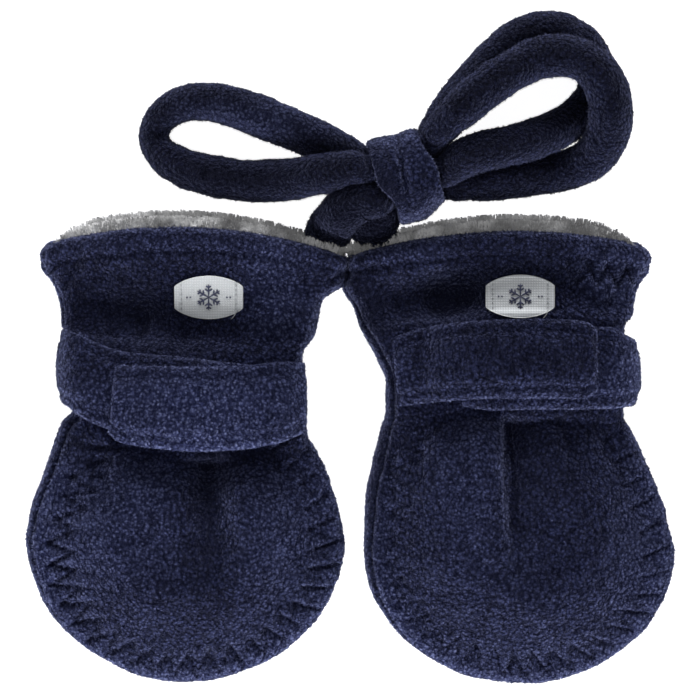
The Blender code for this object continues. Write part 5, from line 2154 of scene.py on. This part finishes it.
def label_stitches(mitten, material):
    """A row of short stitches across each end of the label, and a tail of thread left at one."""
    runs = []
    for side in (-1, 1):
        x = mitten.label_x + side * (LABEL_LENGTH / 2.0 - LABEL_STITCH_IN)
        low = mitten.label_y - LABEL_STITCH_LOW
        for k in range(LABEL_STITCHES):
            start = low + k * (LABEL_STITCH + LABEL_STITCH_GAP)
            end = start + LABEL_STITCH
            places = ((start, -0.2), (start + 0.15, 0.0), (end - 0.15, 0.0), (end, -0.2))
            runs.append([(x, y, label_height(mitten, x, y) + up) for y, up in places])
    end_x = mitten.label_x + LABEL_LENGTH / 2.0 - LABEL_STITCH_IN
    tail = []
    for k in range(9):
        t = k / 8
        x = end_x - 1.4 * t * t
        y = mitten.label_y - LABEL_STITCH_LOW - 2.6 * t
        tail.append((x, y, label_height(mitten, x, y) + 0.1 + 0.5 * math.sin(math.pi * t)))
    runs.append(tail)
    return threads(f"{mitten.name}_label_stitches", runs, 0.11, material, "woven_label")


SNOWFLAKE_ARM = 3.5
SNOWFLAKE_TWIGS = ((0.45, 1.25), (0.75, 0.85))  # place along an arm, and length
SNOWFLAKE_LEAN = math.radians(55.0)
LABEL_DOTS = (-5.9, -5.0, 5.0, 5.9)


def snowflake(mitten, material):
    """A plain six-armed snowflake between two pairs of dots, woven in navy in the label's middle."""

    def bar(start, end):
        points = []
        for k in range(4):
            x, y = [a + (b - a) * (k / 3) for a, b in zip(start, end)]
            points.append((x, y, label_height(mitten, x, y) + 0.03))
        return points

    def reach(start, angle, length):
        return start[0] + math.cos(angle) * length, start[1] + math.sin(angle) * length

    runs = []
    middle = (mitten.label_x, mitten.label_y)
    for arm in range(6):
        turn = math.radians(30.0 + 60.0 * arm)
        runs.append(bar(middle, reach(middle, turn, SNOWFLAKE_ARM)))
        for place, length in SNOWFLAKE_TWIGS:
            fork = reach(middle, turn, SNOWFLAKE_ARM * place)
            for side in (-1, 1):
                runs.append(bar(fork, reach(fork, turn + side * SNOWFLAKE_LEAN, length)))
    for x in LABEL_DOTS:
        low = (middle[0] + x, middle[1] - 0.25)
        runs.append(bar(low, (low[0], low[1] + 0.5)))
    return threads(f"{mitten.name}_label_motif", runs, 0.24, material, "woven_label")


# Cut sizes


def panel_cut(outer):
    """(width, length) of a panel's flat cut, in metres, measured over its own surface."""
    grid = np.array(outer, float)
    half = len(grid) // 2
    widths = [run_length(grid[j]) + run_length(grid[-1 - j]) for j in range(SIDE_ROWS // 2, half, 8)]
    spine = grid[: half + 1, 0]
    length = run_length(spine) + run_length(grid[half])
    return max(widths) * MM, length * MM


def half_area(piece):
    """The area of one side of a sheet, in square metres."""
    return sum(face.area for face in piece.data.polygons) / 2.0


def declare_sheet(piece, flat):
    """Work out a laid sheet's area, no more than its flat cut's; nothing further is done with it."""
    area = min(half_area(piece), flat[0] * flat[1])


def main():
    studio_camera()
    # The last colour given to each fleece is its painted side sheen.
    shell_cloth = fleece("navy polar fleece", "0f1229", "282e52", "424a76", "848cb4", 0.8)
    # A darker copy of the shell fleece for the cord: painted shade.
    shaded_cord_cloth = fleece("navy polar fleece cord", "05071a", "0d1026", "1b203e", "262c4e", 0.35)
    cord_piece, line = free_cord(shaded_cord_cloth)
    knot_piece = knot_band(shell_cloth)
    studio()

    # The last colour given to each nap is its painted side sheen.
    nap_stuff = nap_fibre("navy fleece nap", "171b37", "545c8e", "848cb4", 0.8)
    # The cord's nap, darker in the same way: painted shade.
    shaded_cord_nap_stuff = nap_fibre("navy fleece cord nap", "0a0d22", "262b4c", "30365c", 0.4)
    ground = pile_cloth()
    strand_stuff = pile_strand()
    label_cloth = woven_label()
    label_thread = thread("grey sewing thread", ("7c8086", "a2a6ab"))
    motif_thread = thread("navy weaving thread", ("262b44", "3c4262"))
    nap_tree = strand_tree("nap", short_strand)
    pile_tree = strand_tree("pile", curled_strand)

    nap = Growth(7.5, 0.66, 0.36, 2.4, 0.8, (0.0, 0.0, 0.0), 11)
    back_growth = nap._replace(density=5.0, seed=23)
    strap_growth = nap._replace(seed=41)
    pile = Growth(11.0, 1.3, 0.34, 0.8, 1.8, (0.0, 1.2, 0.6), 31)
    cord_nap = nap._replace(density=4.2, seed=3)
    cord_fuzz = grow("cord_nap", cord_piece, nap_tree, cord_nap, shaded_cord_nap_stuff, "cord_fleece")
    knot_nap = nap._replace(seed=5)
    knot_fuzz = grow("knot_nap", knot_piece, nap_tree, knot_nap, nap_stuff, "cord_fleece")
    run_length(line[:, :3]) * MM
    [tuple(p * MM) for p in line[:, :3]]
    for mitten in (LEFT, RIGHT):
        name = mitten.name
        shell, shell_grid = front_shell(mitten, shell_cloth)
        back, back_grid = back_shell(mitten, shell_cloth)
        shell_nap = grow(f"{name}_front_nap", shell, nap_tree, nap, nap_stuff, "shell_fleece")
        back_nap = grow(f"{name}_back_nap", back, nap_tree, back_growth, nap_stuff, "shell_fleece")
        declare_sheet(shell, panel_cut(shell_grid))
        declare_sheet(back, panel_cut(back_grid))
        for part in ("front_lining", "back_lining"):
            piece, grid = lining(mitten, part, ground)
            pile_name = f"{name}_{part}_pile"
            strands = grow(pile_name, piece, pile_tree, pile, strand_stuff, "lining_pile")
            declare_sheet(piece, panel_cut(np.repeat(grid, 2, axis=0)))
        for maker, word in ((lap, "lap"), (tab, "tab")):
            piece, outer = maker(mitten, shell_cloth)
            nap_name = f"{name}_{word}_nap"
            strands = grow(nap_name, piece, nap_tree, strap_growth, nap_stuff, "strap_fleece")
            run = run_length([row[len(row) // 2] for row in outer])
            width = run_length(outer[len(outer) // 2])
            declare_sheet(piece, (run * MM, width * MM))
        label(mitten, label_cloth)
        label_stitches(mitten, label_thread)
        snowflake(mitten, motif_thread)


main()
